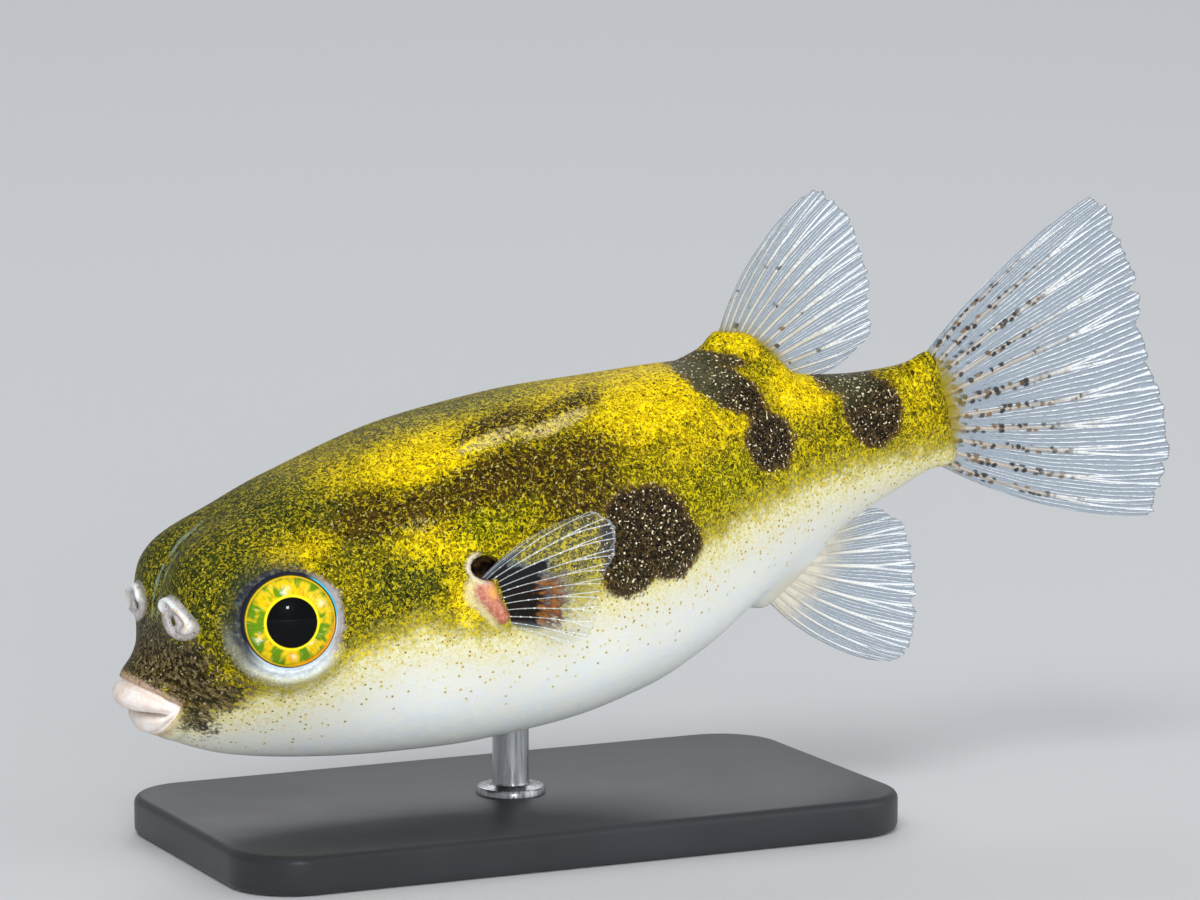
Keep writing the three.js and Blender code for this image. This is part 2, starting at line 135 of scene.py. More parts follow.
# ------------------------------------------------------------------ fins
# Root and edge are lines of (x, z); bow bends the first and the last ray; columns are per ray;
# tips and lobes fray the edge; ray width and height are given at the root and at the edge.
FIN = {"bow": (0, 0), "columns": 20, "rows": 96, "thick": 1.1, "tips": 0.3, "lobes": 0.5,
       "ray_width": (0.11, 0.05), "ray_height": (0.12, 0.03), "fork_from": 0.45}
DORSAL = {
    **FIN,
    "root": [(41.9, 7.6), (43.6, 6.9), (45.6, 4.7)],
    "edge": [(49.6, 15.1), (51.3, 15.2), (52.6, 13.4), (53.25, 11), (53, 8.5), (52.4, 5.8),
             (50.6, 4.6)],
    "bow": (0.95, -0.35), "rays": 13, "seed": 3,
    "base": "8f7f10", "base_length": 2.4, "ray_tint": "b5a684", "dots": 0.16, "lines": 5.0,
}
ANAL = {
    **FIN,
    "root": [(41.2, -7.4), (43.4, -6.6), (45.7, -5.3)],
    "edge": [(48.6, -14.75), (49.9, -14.5), (50.9, -13), (51.6, -10.8), (52, -8.3), (51.8, -6.4),
             (50.3, -5.0)],
    "bow": (-0.85, 0.4), "rays": 11, "seed": 5,
    "base": "d2cdbd", "base_length": 4.4, "ray_tint": "e2dfd2", "dots": 0.01, "lines": 5.0,
}
CAUDAL = {
    **FIN,
    "root": [(54.6, 2.4), (55.6, 0.8), (55.4, -1.2), (54.2, -2.9)],
    "edge": [(69.6, 9.65), (70.6, 8.4), (71.15, 5.4), (71.45, 2.6), (71.2, -0.8), (71.5, -4.2),
             (71.3, -7.2), (70.3, -9.8), (69.0, -11.75)],
    "bow": (0.75, -1.0), "rays": 11, "seed": 8, "columns": 26, "rows": 120, "thick": 1.2,
    "tips": 0.4, "lobes": 0.8,
    "base": "8f7f10", "base_length": 2.6, "ray_tint": "a08a68", "dots": 1.0, "lines": 6.0,
}
PECTORAL = {
    **FIN,
    "root": [(-0.7, 1.4), (-1.0, 0.2), (-0.7, -1.2)],
    "edge": [(5.3, 4.0), (6.9, 4.15), (7.95, 3.05), (7.6, 1.6), (6.8, 0.4), (6.2, -0.8), (5.6, -2.1),
             (4.7, -3.2), (3.2, -3.3)],
    "bow": (0.4, 0.15), "rays": 12, "seed": 12, "rows": 80, "thick": 0.5, "tips": 0.15, "lobes": 0,
    "ray_width": (0.045, 0.032), "ray_height": (0.06, 0.03), "fork_from": 0.62,
}
PECTORAL_ROOT = (20.9, 8.6, 0.0)
PECTORAL_SPREAD = math.radians(30)
FIN_SWAY = 0.12  # how far a fin's sheet waves sideways
FORK_RANGE = 0.22  # how much farther out than the first the last ray may fork
FORK_SPLIT = 0.22  # how far from a ray's line its two branches end, as a share of the gap
EDGE_HALF_THICKNESS = 0.03
CRISP_ANGLE = math.radians(35)


def paint(code):
    """A colour given as six hex digits, as the linear values that Blender mixes."""
    shares = [int(code[i:i + 2], 16) / 255 for i in (0, 2, 4)]
    return tuple(s / 12.92 if s <= 0.04045 else ((s + 0.055) / 1.055) ** 2.4 for s in shares)


# ------------------------------------------------------------------ smooth lines and places
def line_through(pairs):
    """A curve through (x, value) pairs that never swings past them."""
    xs, values = np.array(pairs, float).T
    slope = np.diff(values) / np.diff(xs)
    before, after = slope[:-1], slope[1:]
    total = np.where(before + after == 0, 1, before + after)
    inner = np.where(before * after > 0, 2 * before * after / total, 0)
    tangent = np.concatenate(([slope[0]], inner, [slope[-1]]))

    def value(x):
        x = np.clip(x, xs[0], xs[-1])
        i = np.clip(np.searchsorted(xs, x, side="right") - 1, 0, len(slope) - 1)
        width = xs[i + 1] - xs[i]
        t = (x - xs[i]) / width
        lean = tangent[i] * (1 - t) - tangent[i + 1] * t
        rise = values[i + 1] - values[i]
        return values[i] + rise * t * t * (3 - 2 * t) + t * (1 - t) * width * lean

    return value


back_at = line_through(BACK_LINE)
belly_at = line_through(BELLY_LINE)
half_width_at = line_through(HALF_WIDTH)
widest_at = line_through(WIDEST_LEVEL)
top_squareness_at = line_through(TOP_SQUARENESS)
belly_squareness_at = line_through(BELLY_SQUARENESS)
groove_at = line_through(BROW_GROOVE)
dorsal_foot_at = line_through(DORSAL_FOOT)
anal_foot_at = line_through(ANAL_FOOT)


def smooth_step(value, low, high):
    """0 up to low, 1 from high, and a soft rise between; it falls where high is below low."""
    t = np.clip((value - low) / (high - low), 0, 1)
    return t * t * (3 - 2 * t)


def bell(value, middle, width):
    """1 at the middle, fading to both sides."""
    return np.exp(-(((value - middle) / width) ** 2))


def lerp(first, last, share):
    return first + (last - first) * share


def unit(vector):
    vector = np.asarray(vector, float)
    return vector / np.linalg.norm(vector)


def catmull_rom(p0, p1, p2, p3, t):
    """A smooth curve from p1 to p2 that heads on toward p3 as it came from p0."""
    return 0.5 * (2 * p1 + (p2 - p0) * t + (2 * p0 - 5 * p1 + 4 * p2 - p3) * t ** 2
                  + (3 * p1 - p0 - 3 * p2 + p3) * t ** 3)


def to_world(points):
    """Points of the fish's own frame, in millimetres, as metres of the model's frame."""
    x, y, z = np.moveaxis(np.asarray(points, float), -1, 0)
    c, s = math.cos(NOSE_DOWN), math.sin(NOSE_DOWN)
    return np.stack([x * c - z * s - SNOUT_AHEAD, y, x * s + z * c + SNOUT_HEIGHT], -1) * MM


def body_point(x, turn):
    """A point of the body at station x; turn is 0 at the left flank and a quarter turn at the back."""
    across, up = np.cos(turn), np.sin(turn)
    upper = up >= 0
    square = np.where(upper, top_squareness_at(x), belly_squareness_at(x))
    even = (np.abs(across) ** square + np.abs(up) ** square) ** (-1 / square)
    reach = np.where(upper, back_at(x) - widest_at(x), widest_at(x) - belly_at(x))
    y = -half_width_at(x) * even * across
    ridge = np.exp(-((y / FOOT_HALF_WIDTH) ** 2))
    furrow = np.exp(-((y / GROOVE_HALF_WIDTH) ** 2))
    raised = np.where(upper, dorsal_foot_at(x) * ridge - groove_at(x) * furrow, -anal_foot_at(x) * ridge)
    return np.stack([x + 0 * y, y, widest_at(x) + reach * even * up + raised], -1)


def half_width_at_height(x, z):
    """Distance of the flank from the midline, at a height above the body's widest level."""
    share = np.clip((z - widest_at(x)) / (back_at(x) - widest_at(x)), 0, 1)
    power = top_squareness_at(x)
    return half_width_at(x) * (1 - share ** power) ** (1 / power)


def face_at(y, z):
    """How far back the face lies, straight behind places ahead of it."""
    stations = np.arange(SNOUT_X, EYE["x"], FACE_STEP)
    y, z = np.abs(np.asarray(y, float))[..., None], np.asarray(z, float)[..., None]
    inside = (half_width_at_height(stations, z) >= y) & (back_at(stations) > z)
    return stations[np.argmax(inside, axis=-1)]


# ------------------------------------------------------------------ meshes
def object_mode():
    if bpy.context.object and bpy.context.object.mode != "OBJECT":
        bpy.ops.object.mode_set(mode="OBJECT")
    bpy.ops.object.select_all(action="DESELECT")


def start_piece(name, add, **settings):
    """A primitive under its own name, with its mesh and the places of its points."""
    object_mode()
    add(**settings)
    piece = bpy.context.object
    piece.name = name
    piece.data.name = name
    places = np.empty(len(piece.data.vertices) * 3, np.float32)
    piece.data.vertices.foreach_get("co", places)
    return piece, piece.data, places.reshape(-1, 3).astype(float)


def write_points(mesh, points):
    mesh.vertices.foreach_set("co", np.ascontiguousarray(points, np.float32).ravel())
    mesh.update()


def add_attributes(mesh, fields, kind="FLOAT", key="value"):
    for name, values in fields.items():
        attribute = mesh.attributes.new(name, kind, "POINT")
        attribute.data.foreach_set(key, np.ascontiguousarray(values, np.float32).ravel())


def close_surface(merge=0.0):
    """Merges points closer together than given, in metres, and turns every face outward."""
    bpy.ops.object.mode_set(mode="EDIT")
    bpy.ops.mesh.select_all(action="SELECT")
    if merge:
        bpy.ops.mesh.remove_doubles(threshold=merge)
    bpy.ops.mesh.normals_make_consistent(inside=False)
    bpy.ops.object.mode_set(mode="OBJECT")


def finish_piece(piece, material, slot, *nodes):
    """Smooth faces, the finish, the body it rides on and the solids that it stands for."""
    piece.data.polygons.foreach_set("use_smooth", [True] * len(piece.data.polygons))
    piece.data.materials.clear()
    piece.data.materials.append(material)
    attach(piece, "root")
    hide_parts(*nodes)


def keep_edges_crisp(piece):
    """Smooth shading that stops at the edges of a machined piece."""
    object_mode()
    piece.select_set(True)
    bpy.context.view_layer.objects.active = piece
    bpy.ops.object.shade_smooth_by_angle(angle=CRISP_ANGLE)


# ------------------------------------------------------------------ node trees
class Value:
    """The output of a node. Plain arithmetic with it adds the nodes that work it out."""

    def __init__(self, nodes, socket):
        self.nodes = nodes
        self.socket = socket

    def __add__(self, other):
        return self.nodes.math("ADD", self, other)

    def __sub__(self, other):
        return self.nodes.math("SUBTRACT", self, other)

    def __rsub__(self, other):
        return self.nodes.math("SUBTRACT", other, self)

    def __mul__(self, other):
        return self.nodes.math("MULTIPLY", self, other)

    def __abs__(self):
        return self.nodes.math("ABSOLUTE", self)

    def floor(self):
        return self.nodes.math("FLOOR", self)

    def most(self, other):
        """The larger of two values."""
        return self.nodes.math("MAXIMUM", self, other)

    def step(self, low, high, start=0.0, end=1.0):
        """A soft step from start to end while the value goes from low to high."""
        return self.nodes.add("ShaderNodeMapRange", enumerate((self, low, high, start, end)),
                              interpolation_type="SMOOTHSTEP")

    def coat(self, colour, share, *shares):
        """This colour under another one, which covers it by the product of its shares."""
        for other in shares:
            share = share * other
        return self.nodes.blend(share, self, colour)


class Nodes:
    """Short ways to add nodes to one tree. Each gives back the new node's output."""

    def __init__(self, tree):
        self.tree = tree

    def put(self, socket, value):
        """Links a value to a socket or sets it there. Text is a colour of six hex digits."""
        if isinstance(value, Value):
            self.tree.links.new(value.socket, socket)
            return
        if isinstance(value, str):
            value = paint(value)
        if socket.type == "RGBA" and len(value) == 3:
            value = (*value, 1.0)
        socket.default_value = value

    def fill(self, node, inputs, out):
        """Feeds a node and gives one output, or a list of them where out is a tuple of names."""
        for key, value in dict(inputs).items():
            self.put(node.inputs[key], value)
        if isinstance(out, tuple):
            return [Value(self, node.outputs[name]) for name in out]
        return Value(self, node.outputs[out])

    def add(self, kind, inputs=(), out=0, **settings):
        node = self.tree.nodes.new(kind)
        for name, value in settings.items():
            setattr(node, name, value)
        return self.fill(node, inputs, out)

    def group(self, group, inputs=(), out=0):
        node = self.tree.nodes.new("ShaderNodeGroup")
        node.node_tree = group
        return self.fill(node, inputs, out)

    def math(self, operation, *values):
        return self.add("ShaderNodeMath", enumerate(values), operation=operation)

    def vector(self, operation, *values, out="Vector"):
        return self.add("ShaderNodeVectorMath", enumerate(values), out, operation=operation)

    def distance(self, first, second):
        return self.vector("DISTANCE", first, second, out="Value")

    def blend(self, share, first, second):
        return self.add("ShaderNodeMix", {0: share, 6: first, 7: second}, 2, data_type="RGBA",
                        clamp_factor=True)

    def noise(self, place, scale, detail=1.0, roughness=0.5, distortion=0.0):
        inputs = {"Vector": place, "Scale": scale, "Detail": detail, "Roughness": roughness,
                  "Distortion": distortion}
        return self.add("ShaderNodeTexNoise", inputs)

    def chance(self, number):
        """A random share that stays the same for the same whole number."""
        return self.add("ShaderNodeTexWhiteNoise", {"W": number}, "Value", noise_dimensions="1D")

    def cells(self, place, scale, out="Distance", feature="F1"):
        return self.add("ShaderNodeTexVoronoi", {"Vector": place, "Scale": scale}, out, feature=feature)

    def attribute(self, name, out="Fac"):
        return self.add("ShaderNodeAttribute", (), out, attribute_name=name)

    def object_place(self):
        return self.add("ShaderNodeTexCoord", (), "Object")

    def split(self, vector):
        return self.add("ShaderNodeSeparateXYZ", {0: vector}, ("X", "Y", "Z"))

    def join(self, x, y, z):
        return self.add("ShaderNodeCombineXYZ", enumerate((x, y, z)))

    def relief(self, height, depth):
        """A bump whose full height stands depth millimetres above its lowest."""
        return self.add("ShaderNodeBump", {"Height": height, "Distance": depth * MM, "Strength": 1.0})


VECTOR, FLOAT, COLOUR = "NodeSocketVector", "NodeSocketFloat", "NodeSocketColor"


def node_group(inputs, outputs):
    """Marks a maker of node groups: its group gets these sockets and is built the first time only.

    Inputs are {name: (kind, default)} and outputs {name: kind}. The maker takes the group's nodes
    and its inputs by name, and gives the outputs' values in their order.
    """
    def marked(make):
        def get():
            group = bpy.data.node_groups.get(make.__name__)
            if group:
                return group
            group = bpy.data.node_groups.new(make.__name__, "ShaderNodeTree")
            for name, (kind, default) in inputs.items():
                socket = group.interface.new_socket(name, in_out="INPUT", socket_type=kind)
                if default is not None:
                    socket.default_value = default
            for name, kind in outputs.items():
                group.interface.new_socket(name, in_out="OUTPUT", socket_type=kind)
            nodes = Nodes(group)
            start = group.nodes.new("NodeGroupInput")
            end = group.nodes.new("NodeGroupOutput")
            values = make(nodes, {name: Value(nodes, start.outputs[name]) for name in inputs})
            for name, value in zip(outputs, values):
                nodes.put(end.inputs[name], value)
            return group
        return get
    return marked


@node_group({}, {"Place": VECTOR})
def fish_place(nodes, _):
    """Object coordinates turned into the fish's own frame, in millimetres."""
    c, s = math.cos(NOSE_DOWN), math.sin(NOSE_DOWN)
    location = (SNOUT_AHEAD * c - SNOUT_HEIGHT * s, 0.0, -SNOUT_AHEAD * s - SNOUT_HEIGHT * c)
    inputs = {"Vector": nodes.object_place(), "Location": location, "Rotation": (0.0, NOSE_DOWN, 0.0),
              "Scale": (1 / MM,) * 3}
    return [nodes.add("ShaderNodeMapping", inputs, vector_type="POINT")]


@node_group({"Place": (VECTOR, None), "Length": (FLOAT, 0.28), "Crowding": (FLOAT, 0.5)},
            {"Flecks": FLOAT, "Specks": FLOAT, "Pricks": FLOAT})
def skin_flecks(nodes, start):
    """Short curled flecks, sparse pale ones and dark pin-pricks, over a place in millimetres."""
    place = start["Place"]
    scale = nodes.math("DIVIDE", 1.0, start["Length"])
    limit = 0.72 - start["Crowding"] * 0.42
    layers = []
    for shift, size, least in (((7.3, 3.1, 5.9), 1.0, limit), ((2.2, 8.7, 1.3), 1.5, limit),
                               ((4.1, 1.9, 6.6), 1.65, 0.66)):
        moved = nodes.vector("ADD", place, shift)
        curl = nodes.noise(moved, scale * size, 0.0, 0.5, 1.1)
        line = abs(curl - 0.5).step(0.085, 0.03)
        cut = nodes.noise(nodes.vector("ADD", moved, shift), scale * (1.4 * size), 0.0)
        layers.append(line * (cut - least).step(-0.03, 0.04))
    pricks = nodes.noise(nodes.vector("ADD", place, (1.7, 9.2, 4.4)), scale * 1.5, 1.0, 0.6)
    return layers[0].most(layers[1]), layers[2], pricks.step(0.47, 0.34)


@node_group({"Place": (VECTOR, None), "Size": (FLOAT, 0.3)}, {"Height": FLOAT})
def wet_grain(nodes, start):
    """Fine pebbling of soft skin, as a height, over a place in millimetres."""
    scale = nodes.math("DIVIDE", 1.0, start["Size"])
    pebbles = nodes.cells(start["Place"], scale, feature="SMOOTH_F1").step(0.0, 0.7, 1.0, 0.0)
    ripple = nodes.noise(start["Place"], scale * 2.3, 2.0, 0.6)
    return [pebbles * 0.6 + ripple * 0.4]


def new_material(name, kind=Nodes):
    material = bpy.data.materials.new(name)
    material.use_nodes = True
    return material, kind(material.node_tree)


def finished(material, nodes, **sockets):
    """The material once its shader is fed. Sockets are named with underscores for spaces."""
    shader = material.node_tree.nodes["Principled BSDF"]
    for key, value in sockets.items():
        nodes.put(shader.inputs[key.replace("_", " ")], value)
    return material


def colour(name, description, code):
    return bpy.props.FloatVectorProperty(name=name, description=description, subtype="COLOR",
                                         default=paint(code), min=0.0, max=1.0)


def measure(name, description, default, low, high):
    return bpy.props.FloatProperty(name=name, description=description, default=default, min=low,
                                   max=high, unit="LENGTH")


# ================================================================== skin
def body_columns():
    """Turns of the columns round the body, closer together at the flanks."""
    even = np.arange(COLUMNS) * 2 * math.pi / COLUMNS
    return even - FLANK_CROWDING * np.sin(2 * even) / 2


def face_start_at(turn):
    """Station where the face begins, all round."""
    above, side, below = FACE_START
    up = np.sin(turn)
    return side + np.where(up >= 0, above - side, below - side) * np.abs(up) ** 1.3


def mouth_ring(top, side, bottom, turn):
    """A ring through its three named points, an ellipse's quarter between each two."""
    up = np.sin(turn)
    end_x = np.where(up >= 0, top[0], bottom[0])
    end_z = np.where(up >= 0, top[1], bottom[1])
    share = np.abs(up)
    return np.stack([lerp(side[0], end_x, share), -side[1] * np.cos(turn), lerp(side[2], end_z, share)], -1)


def curve_rings(rings, counts):
    """Rings between given ones, on a Catmull-Rom curve along every column."""
    made = []
    for i, count in enumerate(counts):
        p0, p1, p2, p3 = [rings[min(max(k, 0), len(rings) - 1)] for k in (i - 1, i, i + 1, i + 2)]
        for t in np.arange(count) / count:
            made.append(catmull_rom(p0, p1, p2, p3, t))
    return made


def mouth_rings(turn):
    """Rings from inside the mouth, over both lips and onto the face."""
    begin = face_start_at(turn)
    rings = [mouth_ring(top, side, bottom, turn) for top, side, bottom, _ in MOUTH_RINGS]
    rings += [body_point(begin, turn), body_point(begin + 0.5, turn)]
    return curve_rings(rings, [count for *_, count in MOUTH_RINGS])


def face_rings(turn):
    """Rings spread evenly along each column from the mouth to the eyes' front."""
    begin = face_start_at(turn)
    shares = np.linspace(0, 1, FACE_SAMPLES)[:, None]
    fine = body_point(begin + (FACE_END - begin) * shares, turn[None, :])
    lengths = np.linalg.norm(np.diff(fine, axis=0), axis=2)
    travelled = np.vstack([np.zeros(len(turn)), np.cumsum(lengths, axis=0)])
    rings = np.empty((FACE_RINGS, len(turn), 3))
    wanted = np.arange(FACE_RINGS) / FACE_RINGS
    for column in range(len(turn)):
        along = travelled[:, column]
        station = np.interp(wanted * along[-1], along, fine[:, column, 0])
        rings[:, column] = body_point(station, turn[column])
    return list(rings)


def trunk_stations():
    """Stations of the rings behind the face, close together on the head and wider apart later."""
    stations = [FACE_END]
    end = TAIL_END_X - TAIL_ROUNDING
    while stations[-1] < end:
        beyond = max(stations[-1] - HEAD_END, 0)
        stations.append(stations[-1] + min(HEAD_STEP + STEP_GROWTH * beyond, LONGEST_STEP))
    stations[-1] = end
    return stations


def tail_rings(turn):
    """The tail base rounds off to a blunt edge that the fin grows from."""
    rings = []
    for i in range(1, TAIL_ROUND_RINGS + 1):
        bend = i / TAIL_ROUND_RINGS * math.pi / 2
        ring = body_point(TAIL_END_X - TAIL_ROUNDING * (1 - math.sin(bend)) + 0 * turn, turn)
        middle = widest_at(TAIL_END_X)
        ring[:, 1] *= max(math.cos(bend), 0.02)
        ring[:, 2] = middle + (ring[:, 2] - middle) * lerp(0.8, 1.0, math.cos(bend))
        rings.append(ring)
    return rings


def eye_frame(side):
    """Centre of an eye and its outward, tailward and upward directions."""
    out = unit((-EYE["forward"], side, EYE["upward"]))
    flank = half_width_at_height(EYE["x"], EYE["z"])
    centre = np.array((EYE["x"], side * flank, EYE["z"])) - out * EYE["sunk"]
    up = unit(np.array((0, 0, 1.0)) - out * out[2])
    tail = np.cross(up, out) * -side
    return centre, out, tail, up


def eye_polar(points):
    """Places from the nearer eye's middle: tailward, upward and outward along its axis."""
    centre, out, tail, up = eye_frame(LEFT)
    mirrored = np.stack([points[..., 0], -np.abs(points[..., 1]), points[..., 2]], -1)
    offset = mirrored - centre
    return offset @ tail, offset @ up, offset @ out


def round_the_eye(points):
    """Lifts the skin to a rim round each eye, with a fold behind it, and sinks it under the eye."""
    a, b, height = eye_polar(points)
    reach, off_centre = np.hypot(a, b), np.hypot(a + RING_SHIFT, b)
    lifted = np.maximum(ORBIT_LEVEL - height, 0) * smooth_step(reach, 4.7, 3.05)
    rim = 0.10 * bell(off_centre, 2.92, 0.16)
    fold = 0.07 * bell(off_centre, 3.54, 0.22) - 0.20 * bell(off_centre, 3.22, 0.13)
    under = -1.4 * smooth_step(reach, 2.93, 2.3)
    near = (reach < 5.5) & (height > -2.5)  # the skin beside the eye, not deeper or farther
    move = np.where(near, lifted + rim + fold + under, 0)[..., None]
    _, out, _, _ = eye_frame(LEFT)
    mirror = np.where(points[..., 1] > 0, -1, 1)
    return points + move * np.stack([out[0] + 0 * mirror, out[1] * mirror, out[2] + 0 * mirror], -1)


def grid_normals(points):
    """Outward directions over a grid of rings that close on themselves."""
    along = np.gradient(points, axis=0)
    around = np.roll(points, -1, axis=1) - np.roll(points, 1, axis=1)
    normal = np.cross(along, around)
    return normal / np.maximum(np.linalg.norm(normal, axis=2, keepdims=True), 1e-9)


def capsule(points, start, end):
    """Distance from a straight line between two places, and how far along it, in the side view."""
    start, end = np.array(start, float), np.array(end, float)
    line = end - start
    x, z = points[..., 0] - start[0], points[..., 2] - start[1]
    share = np.clip((x * line[0] + z * line[1]) / (line @ line), 0, 1)
    return np.hypot(x - share * line[0], z - share * line[1]), share


# The gill opening is an ellipse and the fin's base a rounded line, in the side view.
GILL = {"centre": (20.95, 2.2), "half": (1.0, 0.7), "tilt": math.radians(-24), "depth": 0.95}
FIN_BASE = {"start": (20.42, 0.95), "end": (21.0, -0.8), "half_width": 0.62, "height": 0.5}
FIN_BASE_LIT = (20.9, -9.5, 0.9)  # where light catches the base
MOUTH_CORNER = (2.6, -1.3)
FLANK_FROM = 6  # distance from the midline beyond which a place is on a flank


def gill_share(points):
    """1 in the middle of the gill opening, 0 on its edge."""
    tilt = GILL["tilt"]
    x, z = points[..., 0] - GILL["centre"][0], points[..., 2] - GILL["centre"][1]
    a = (x * math.cos(tilt) + z * math.sin(tilt)) / GILL["half"][0]
    b = (z * math.cos(tilt) - x * math.sin(tilt)) / GILL["half"][1]
    return 1 - np.hypot(a, b)


def fin_base_distance(points):
    """Distance from the fleshy base of the pectoral fin, which narrows toward its lower end."""
    distance, along = capsule(points, FIN_BASE["start"], FIN_BASE["end"])
    return distance * (1 + 0.7 * along)


def flank_folds(points):
    """Height of the gill opening, its rim and the fleshy base of the pectoral fin."""
    gill = gill_share(points)
    base = FIN_BASE["height"] * smooth_step(fin_base_distance(points), FIN_BASE["half_width"] * 1.7, 0.1)
    opening = -GILL["depth"] * smooth_step(gill, -0.08, 0.5)
    ahead = smooth_step(points[..., 0], GILL["centre"][0] + 0.2, GILL["centre"][0] - 0.9)
    rim = 0.22 * bell(gill, -0.28, 0.22) * ahead
    beside = np.abs(points[..., 1]) > FLANK_FROM
    return np.where(beside, base * smooth_step(gill, 0.1, -0.3) + opening + rim, 0)


def muzzle_folds(points):
    """Soft creases that run back from the mouth's corner."""
    x, z = points[..., 0] - MOUTH_CORNER[0], points[..., 2] - MOUTH_CORNER[1]
    reach, turn = np.hypot(x, z), np.arctan2(z, x)
    waves = 0.045 * np.sin(turn * 9 + 2.1 * reach)
    return waves * bell(reach, 1.5, 0.9) * (points[..., 0] < 7)


# ------------------------------------------------------------------ markings
# Dark blotches: centre as x, distance from the midline and z; half sizes; tilt in degrees, with
# the tailward end down, in the side view.
BLOTCHES = [
    ((31.5, 7.6, 0.75), (3.35, 9, 2.75), 0),
    ((29.9, 8.3, -0.85), (2.1, 9, 1.75), 0),
    ((33.0, 7.6, -0.7), (2.3, 9, 2.0), 0),
    ((42.35, 4.2, 2.4), (1.95, 4, 1.8), 0),
    ((40.8, 2.0, 6.3), (3.1, 5.5, 1.3), 42),
    ((41.6, 1.0, 7.6), (2.1, 2.0, 0.42), 24),
    ((42.3, 3.9, 4.1), (0.85, 2.2, 1.0), 0),
    ((50.5, 1.8, 1.6), (2.2, 6, 2.35), 0),
    ((49.4, 0.8, 3.9), (1.9, 3, 1.0), 10),
]
# Soft patches of the side view: centre x and z; half sizes; strength.
BROWN = [
    ((15.3, 6.9), (2.6, 1.6), 0.85), ((19.5, 6.4), (3.6, 1.2), 0.8), ((24.3, 6.5), (4.8, 1.4), 1.0),
    ((28.6, 5.9), (3.8, 1.5), 0.95), ((28.2, 4.2), (3.6, 1.8), 0.8), ((24.5, 4.9), (3.5, 1.1), 0.5),
    ((25.2, 8.95), (3.0, 0.45), 1.0), ((30.0, 8.45), (3.2, 0.5), 1.0), ((19.2, 4.9), (2.6, 0.8), 0.45),
]
SHADE = [((16.2, 2.9), (2.9, 1.9), 0.85), ((5.6, 6.6), (3.6, 2.4), 1.0), ((10.5, 8.3), (4.6, 1.7), 0.8),
         ((4.6, 4.4), (1.8, 2.2), 0.8), ((12.9, 1.9), (1.8, 1.6), 0.5), ((13.6, 5.1), (2.4, 1.1), 0.55),
         ((20.0, 10.4), (8.0, 0.9), 0.7), ((4.2, 2.0), (1.6, 1.2), 0.7), ((13.9, 1.0), (2.6, 1.2), 0.55)]
GOLD = [
    ((20.6, 8.8), (4.4, 1.3), 0.9), ((18.4, 4.3), (2.4, 1.2), 0.8), ((35.6, 7.2), (5.0, 1.9), 0.95),
    ((31.0, 8.6), (4.4, 1.1), 0.55), ((46.4, 4.4), (3.0, 1.7), 0.95), ((54.4, 0.6), (2.4, 4.0), 0.3),
    ((43.6, 8.3), (2.4, 1.6), 0.6), ((10.9, 6.3), (2.7, 1.1), 0.5), ((38.2, 4.4), (3.6, 1.7), 0.5),
    ((19.0, 0.9), (0.8, 2.0), 0.7), ((14.0, 0.0), (3.0, 0.9), 0.3), ((15.5, 8.6), (3.0, 1.0), 0.5),
]
GREEN = [((22.4, 4.5), (3.4, 1.0), 1.0), ((38.5, 1.6), (5.0, 2.2), 0.6), ((11.5, 9.0), (5.0, 1.2), 0.5),
         ((30.0, 10.0), (7.0, 0.8), 0.5)]
# painted sheen on the upper parts of the saddle and tail blotches
BLOTCH_SHEEN = [((39.2, 7.6), (2.7, 1.7), 1.0), ((49.2, 3.6), (2.4, 1.1), 0.9)]
CREAM = [((24.6, 8.4), (2.6, 0.33), 0.85), ((28.8, 7.95), (2.9, 0.36), 0.85),
         ((17.9, 5.6), (1.4, 0.7), 0.35)]
PATCHES = {"brown": BROWN, "shade": SHADE, "gold": GOLD, "green": GREEN, "cream": CREAM, "blotch_sheen": BLOTCH_SHEEN}
BELLY_EDGE = [(0, -1.6), (3.3, -2.0), (8.3, -1.9), (11.1, -1.5), (13.4, -0.9), (15.9, -0.7), (18.2, -1.4),
              (20.6, -2.2), (23.9, -2.3), (27.3, -2.0), (30.9, -2.3), (34.8, -2.2), (40, -1.7),
              (43.4, -1.7), (47.5, -2.0), (51.6, -2.6), (55.3, -3.4), (60, -4.5)]
MUZZLE = [((2.4, 0, 1.9), (2.0, 3.9, 2.1), 0), ((3.5, 3.6, 0.9), (1.9, 2.4, 2.2), 0),
          ((4.4, 4.8, -0.8), (1.9, 2.0, 1.1), 0), ((3.4, 3.6, -1.9), (1.0, 1.4, 1.6), 0),
          ((2.9, 3.3, -0.6), (1.0, 1.2, 1.0), 0), ((2.7, 2.9, 0.9), (1.4, 1.7, 1.1), 0),
          ((1.7, 2.4, 0.5), (1.2, 1.5, 1.2), 0)]
FLECK_LENGTH = 0.4
SPOTS_PER_MM = 3.3
STREAK_TURN = math.radians(-38)
STREAK_STRETCH = (0.9, 2.2, 2.2)
BROW_LINE_OUT = 0.45  # distance of the two pale lines from the midline
ANAL_FIN_START = (43.0, 0.0, -8.6)


def blotch_field(points, blotches):
    """About how many millimetres a place lies inside the nearest blotch; negative outside."""
    best = np.full(points.shape[:-1], -9.0)
    for centre, half, tilt in blotches:
        turn = math.radians(tilt)
        x, z = points[..., 0] - centre[0], points[..., 2] - centre[2]
        a = (x * math.cos(turn) - z * math.sin(turn)) / half[0]
        b = (x * math.sin(turn) + z * math.cos(turn)) / half[2]
        c = (np.abs(points[..., 1]) - centre[1]) / half[1]
        size = math.sqrt(half[0] * half[2])
        best = np.maximum(best, (1 - np.sqrt(a * a + b * b + c * c)) * size)
    return np.clip(best, -3, 3)


